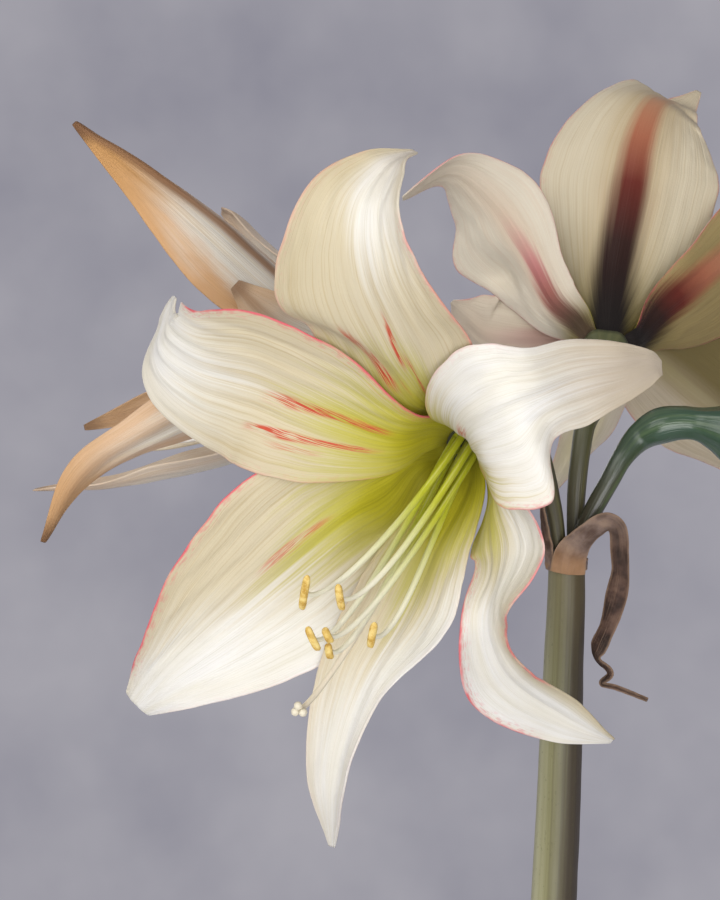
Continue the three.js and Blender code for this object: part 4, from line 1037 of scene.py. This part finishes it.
def make_stamens():
    green_thread = thread_finish("filament", (0.50, 0.52, 0.025), (0.84, 0.81, 0.64), 0.85)
    white_thread = thread_finish("filament_pale", (0.78, 0.78, 0.55), (0.88, 0.84, 0.76), 0.6)
    style_skin = thread_finish("style", (0.52, 0.52, 0.05), (0.78, 0.70, 0.54), 0.6)
    stigma_skin = thread_finish("stigma", (0.74, 0.68, 0.52), (0.84, 0.80, 0.70), 0.9)
    pollen = pollen_finish()
    for name, bloom in BLOOMS.items():
        seat = facing(bloom["throat"], bloom["axis"])
        ways = clockwise(seat, bloom["droop"])
        bm = bmesh.new()
        profile = [bm.verts.new((r, 0, z)) for r, z in STAMEN_RING]
        edges = [bm.edges.new((a, b)) for a, b in zip(profile, profile[1:] + profile[:1])]
        spun(bm, profile, edges, 36)
        bmesh.ops.recalc_face_normals(bm, faces=bm.faces)
        bm.loops.layers.uv.new("UVMap")
        kept_on(bm, "along")
        basis = Matrix((seat["right"], seat["up"], seat["ahead"])).transposed()
        for vert in bm.verts:
            vert.co = seat["origin"] + basis @ vert.co
        parts = [bm]
        for k, (end, clock) in enumerate(zip(bloom["stamens"]["ends"], STAMEN_CLOCKS)):
            angle = math.radians(clock)
            root = (3.8 * math.cos(angle), 3.8 * math.sin(angle), 0.8)
            rows = thread_rows(seat, ways, root, end, (6, 0, 28), (10, -7, -12), (1.2, 0.65))
            parts.append(rod_bmesh(rows, sides=12, steps=44))
            parts.append(anther_bmesh(seat, point_in(seat, ways, end), bloom["stamens"]["lengths"][k], k))
        label = f"bloom_{name}_stamens"
        thread = white_thread if name == "left" else green_thread
        finished(label + "_threads", joined(parts), [thread, pollen], label)

        end = bloom["stamens"]["style"]
        rows = thread_rows(seat, ways, (0, 0, -0.4), end, (12, 0, 24), (8, -3, -18), (1.05, 0.8))
        parts = [rod_bmesh(rows, sides=14, steps=54)]
        tip = point_in(seat, ways, end)
        for k in range(3):
            out, _ = clockwise(seat, 120 * k)
            lobe = bmesh.new()
            bmesh.ops.create_uvsphere(lobe, u_segments=16, v_segments=12, radius=1.2)
            for vert in lobe.verts:
                vert.co *= 1 + 0.12 * noise.noise(vert.co * 2.2 + Vector((k, 0, 0)))
                vert.co += tip + out * 1.35
            parts.append(painted(lobe, 1))
        label = f"bloom_{name}_pistil"
        finished(label + "_style", joined(parts), [style_skin, stigma_skin], label)


def make_scape():
    def section(angle, share):
        return 1 + 0.012 * math.cos(2 * angle + 0.6) + 0.006 * math.sin(7 * angle + 9 * share)

    bm = rod_bmesh(SCAPE, sides=64, steps=150, shape=section)
    for vert in bm.verts:
        vert.co += vert.normal * 0.18 * noise.noise(vert.co * 0.08)
    finished("scape_stem", bm, [scape_finish()], "scape")


def ribbon_bmesh(rows, steps, across, curl, seed):
    """A withered ribbon: its width lies across the front view, turned about its own line and curled."""
    bm = blade_bmesh(steps, across)
    line = spaced(rows, steps)
    centres = [Vector(row[:3]) for row in line]
    layers = kept_on(bm, "from_left", "from_right", "along")
    for vert in bm.verts:
        v, t = vert.co.x, clamp((vert.co.y + 1) / 2)
        k = round(t * steps)
        along = heading(centres, k)
        over = along.cross(Vector((0, 1, 0))).normalized()
        over.rotate(Matrix.Rotation(math.radians(line[k][4]), 3, along))
        width = line[k][3] * (1 + 0.16 * noise.noise(Vector((seed, 11 * t, 2 * (v > 0)))))
        place = centres[k] + over * (v * width) + over.cross(along) * (curl * width * v * v)
        crinkle = 0.35 * noise.noise(place * 0.5 + Vector((seed, 0, 0))) + 0.25 * noise.noise(place * 1.1)
        vert.co = place + over.cross(along) * crinkle
        for layer, value in zip(layers, ((1 + v) * width, (1 - v) * width, t)):
            vert[layer] = value
    bm.normal_update()
    return bm


def make_spathe():
    collar = blade_bmesh(14, 120)
    layers = kept_on(collar, "from_left", "from_right", "along")
    for vert in collar.verts:
        angle, t = math.pi * vert.co.x, clamp((vert.co.y + 1) / 2)
        torn = 1.0 * noise.noise(Vector((2.2 * math.cos(angle), 2.2 * math.sin(angle), 4)))
        top = COLLAR["top"] + torn + 0.6 * noise.noise(Vector((6 * math.cos(angle), 6 * math.sin(angle), 1)))
        radius = COLLAR["radius"] + 0.16 * math.sin(9 * angle + 3 * t) * t + 0.5 * max(0, t - 0.8)
        height = COLLAR["foot"] + (top - COLLAR["foot"]) * t
        vert.co = Vector((COLLAR["middle"] + radius * math.cos(angle), radius * math.sin(angle), height))
        for layer, value in zip(layers, (6 * t, 6 * (1 - t), 0.2)):
            vert[layer] = value
    bmesh.ops.remove_doubles(collar, verts=collar.verts, dist=0.01)
    bmesh.ops.recalc_face_normals(collar, faces=collar.faces)
    long_valve = ribbon_bmesh(SPATHE_LONG, 150, 12, 0.35, 3)
    short_valve = ribbon_bmesh(SPATHE_SHORT, 40, 12, 0.3, 8)
    whole = joined([collar, long_valve, short_valve])
    thickened(finished("spathe_skin", whole, [spathe_finish()], "spathe"), 0.55)


def make_leaves():
    blade = leaf_finish()
    seat = facing((0, 0, POCKET["floor"]), (0, 0, 1), (0, 1, 0))
    for seed, (name, (clock, rows)) in enumerate(LEAVES.items()):
        wave = {"height": 0.25, "count": 3, "phase": seed, "ragged": 0.01}
        bm = bent_blade(seat, clock, rows, 96, 24, wave, seed)
        veined(bm, seed, pleat=0.10, groove=0.35, frill=0.0)
        thickened(finished(name + "_blade", bm, [blade], name), 1.7)


def turned_bmesh(profile, steps):
    """A body turned round the upright axis from points of radius and height, with UVs round and up it."""
    bm = bmesh.new()
    verts = [bm.verts.new((r, 0, z)) for r, z in profile]
    edges = [bm.edges.new(pair) for pair in zip(verts, verts[1:])]
    spun(bm, verts, edges, steps)
    bmesh.ops.remove_doubles(bm, verts=bm.verts, dist=0.001)
    bmesh.ops.recalc_face_normals(bm, faces=bm.faces)
    heights = [z for _, z in profile]
    round_uvs(bm, min(heights), max(heights) - min(heights))
    return bm


def make_pot():
    base, lip, top, wall, floor, out = (POT[key] for key in ("base", "lip", "height", "wall", "floor", "out"))
    band = top - POT["band"]

    def radius(z):
        return base + (lip - base) * z / top

    profile = [(0, 0), (base - 3.5, 0), (base - 1.5, 0), (base - 0.4, 0.6), (base, 1.8)]
    profile += [(radius(z), z) for z in (8, 20, 34, 48, 62, 76, 90, 99, band - 1)]
    step = radius(band)
    profile += [(step, band), (step + out - 0.8, band + 0.2), (step + out, band + 1.2),
                (step + out + 0.5, band + 4), (lip + out - 0.3, top - 4), (lip + out, top - 1.8),
                (lip + out - 0.6, top - 0.5), (lip + out - 1.8, top), (lip - wall + 1.8, top),
                (lip - wall + 0.5, top - 0.5), (lip - wall, top - 2)]
    profile += [(radius(z) - wall, z) for z in (114, 100, 80, 55, 30, 12)]
    profile += [(base - wall, floor + 2), (base - wall - 3, floor), (0, floor)]
    bm = turned_bmesh(profile, 128)
    for vert in bm.verts:
        if 2 < vert.co.z < top - 1:
            outward = Vector((vert.co.x, vert.co.y, 0)).normalized()
            dent = noise.noise(Vector((*(vert.co.xy * 0.04), vert.co.z * 0.06)))
            vert.co -= outward * (0.12 + 0.12 * dent)
    finished("pot_clay", bm, [terracotta_finish()], "pot")


def soil_height(x, y, inner, outer):
    """The gentle heaps of the soil's top, which die away at the bulb and at the pot."""
    share = (math.hypot(x, y) - inner) / (outer - inner)
    bump = math.sin(x * 0.21) * math.cos(y * 0.17) + 0.6 * math.sin(x * 0.11 - y * 0.25)
    return SOIL_TOP + 1.5 * bump * math.sin(math.pi * clamp(share))


def make_soil():
    def inside(z):
        share = (z - POT["floor"]) / (POT["height"] - POT["floor"])
        return POT["base"] - POT["wall"] + (POT["lip"] - POT["base"]) * share - 0.5

    outer, inner = inside(SOIL_TOP), 42.9
    top = [(outer + (inner - outer) * k / 24, SOIL_TOP) for k in range(25)]
    socket = [(r + 0.4 if r else 0, z - 0.4) for r, z in reversed(BULB) if z < SOIL_TOP]
    bm = turned_bmesh([(0, 6.5), (inside(6.5), 6.5), (inside(60), 60), *top, *socket], 220)
    for vert in bm.verts:
        if abs(vert.co.z - SOIL_TOP) < 0.01:
            x, y, _ = vert.co
            crumble = 1.1 * noise.noise(Vector((x, y, 0)) * 0.35)
            crumble += 0.8 * noise.noise(Vector((x, y, 5)) * 0.9)
            vert.co.z = soil_height(x, y, inner, outer) + 0.5 + crumble
    draw = random.Random(5)
    parts = [bm]
    for k in range(CRUMBS):
        angle, share = draw.uniform(0, 2 * math.pi), draw.random() ** 0.8
        reach = inner + 1.2 + share * (outer - inner - 2.6)
        kind = 2 if k % 13 == 0 else 1 if k % 4 == 0 else 0
        size = draw.uniform(0.9, 2.4) * (0.75 if kind == 2 else 1)
        reach = min(reach, outer - size - 0.3)
        x, y = reach * math.cos(angle), reach * math.sin(angle)
        flat = (0.95, 0.5, 0.28) if kind == 1 else (1, 0.85, 0.75)
        crumb = bmesh.new()
        bmesh.ops.create_icosphere(crumb, subdivisions=1, radius=1)
        for vert in crumb.verts:
            vert.co *= 1 + 0.35 * noise.noise(vert.co * 1.6 + Vector((k, 0, 0)))
        spin = Matrix.Rotation(draw.uniform(0, 6.28), 3, "Z")
        spin = spin @ Matrix.Rotation(draw.uniform(-0.5, 0.5), 3, "X")
        for vert in crumb.verts:
            vert.co = spin @ Vector([a * b * size for a, b in zip(vert.co, flat)])
            vert.co += Vector((x, y, soil_height(x, y, inner, outer) + 0.6))
        parts.append(painted(crumb, kind))
    finishes = [
        soil_finish("potting_mix", [(0.010, 0.006, 0.004), (0.030, 0.018, 0.011), (0.070, 0.042, 0.025)]),
        soil_finish("bark_chips", [(0.055, 0.026, 0.012), (0.12, 0.06, 0.03), (0.20, 0.115, 0.06)]),
        soil_finish("perlite", [(0.42, 0.40, 0.36), (0.60, 0.58, 0.53), (0.74, 0.72, 0.68)]),
    ]
    finished("soil_mix", joined(parts), finishes, "soil")


def make_bulb():
    profile = [along_rows(BULB, k / 44) for k in range(45)]
    profile += [(17.6, 167.2), (16.4, 167.2), (15.7, 166), (15.6, 160), (15.6, POCKET["floor"] + 0.2),
                (8, POCKET["floor"]), (0, POCKET["floor"])]
    bm = turned_bmesh(profile, 160)
    for vert in bm.verts:
        x, y, z = vert.co
        reach = math.hypot(x, y)
        if reach < 15.9 or z < 78:
            continue
        angle = math.atan2(y, x)
        outward = Vector((x, y, 0)).normalized()
        ribs = 0.22 * math.sin(46 * angle + 5 * noise.noise(Vector((angle, z * 0.03, 0))))
        skin = 0.5 * noise.noise(Vector((x * 0.06, y * 0.06, z * 0.02))) - 0.45
        vert.co += outward * (ribs * clamp((reach - 18) / 8) + skin * clamp((reach - 17) / 6))
    parts = [bm]
    for k, (start, sweep, low, high) in enumerate(HUSKS):
        husk = blade_bmesh(40, 60)
        for vert in husk.verts:
            v, t = (vert.co.x + 1) / 2, (vert.co.y + 1) / 2
            angle = start + sweep * v
            torn = 7 * abs(noise.noise(Vector((5 * v, k, 0)))) + 2.5 * noise.noise(Vector((21 * v, k, 4)))
            narrow = math.sin(math.pi * clamp(v)) ** 0.4
            z = low + (high - torn - low) * t * (0.35 + 0.65 * narrow)
            place = along_rows(BULB, clamp(z_share(z)))
            lift = 0.35 + 0.3 * k + 8.1 * clamp(t - 0.85) * abs(noise.noise(Vector((9 * v, 3, k))))
            reach = place[0] + lift * 0.6 + 0.12 * math.sin(60 * angle)
            vert.co = Vector((reach * math.cos(angle), reach * math.sin(angle), z))
        husk.normal_update()
        bmesh.ops.recalc_face_normals(husk, faces=husk.faces)
        bmesh.ops.solidify(husk, geom=husk.faces[:], thickness=0.25)
        parts.append(husk)
    finished("bulb_tunic_skin", joined(parts), [tunic_finish()], "bulb")


def z_share(z):
    """How far along the bulb's outline a height lies, from 0 at its base to 1 at its neck."""
    heights = [row[1] for row in BULB]
    for k, (low, high) in enumerate(zip(heights, heights[1:])):
        if z <= high:
            return (k + clamp((z - low) / (high - low))) / (len(BULB) - 1)
    return 1.0


# Camera, light and floor

def look_at(thing, target):
    thing.rotation_euler = (Vector(target) - thing.location).to_track_quat("-Z", "Y").to_euler()


def make_camera():
    lens = bpy.data.cameras.new("camera")
    lens.sensor_fit = "HORIZONTAL"
    lens.sensor_width = CAMERA["sensor"]
    lens.lens = CAMERA["lens"]
    lens.clip_start = 0.01
    camera = bpy.data.objects.new("camera", lens)
    camera.location = CAMERA["place"]
    look_at(camera, CAMERA["target"])
    bpy.context.scene.collection.objects.link(camera)
    bpy.context.scene.camera = camera


def make_lamp(name, place, target, size, power, colour):
    light = bpy.data.lights.new(name, "AREA")
    light.size = size
    light.energy = power
    light.color = colour
    lamp = bpy.data.objects.new(name, light)
    lamp.location = place
    look_at(lamp, target)
    bpy.context.scene.collection.objects.link(lamp)


def make_studio():
    bm = bmesh.new()
    bmesh.ops.create_circle(bm, cap_ends=True, segments=128, radius=FLOOR_RADIUS)
    bmesh.ops.translate(bm, verts=bm.verts, vec=(0, 0, -FLOOR_DROP))
    in_metres("floor", bm, [floor_finish()])
    world = bpy.data.worlds.new("studio")
    world.use_nodes = True
    background = world.node_tree.nodes["Background"]
    nodes, links = world.node_tree.nodes, world.node_tree.links
    cloudy = nodes.new("ShaderNodeTexNoise")
    cloudy.inputs["Scale"].default_value = 9
    cloudy.inputs["Detail"].default_value = 4
    links.new(nodes.new("ShaderNodeTexCoord").outputs["Generated"], cloudy.inputs["Vector"])
    wall = nodes.new("ShaderNodeValToRGB")
    for stop, place, colour in zip(wall.color_ramp.elements, (0.32, 0.68), WALL):
        stop.position = place
        stop.color = (*colour, 1)
    links.new(cloudy.outputs[0], wall.inputs[0])
    links.new(wall.outputs[0], background.inputs["Color"])
    background.inputs["Strength"].default_value = 1.0
    bpy.context.scene.world = world
    bpy.context.scene.view_settings.view_transform = "Standard"
    for name, lamp in LAMPS.items():
        make_lamp(name, *lamp)


make_camera()
make_studio()
make_pot()
make_soil()
make_bulb()
make_leaves()
make_scape()
make_spathe()
make_stalks()
make_stamens()
make_petals()
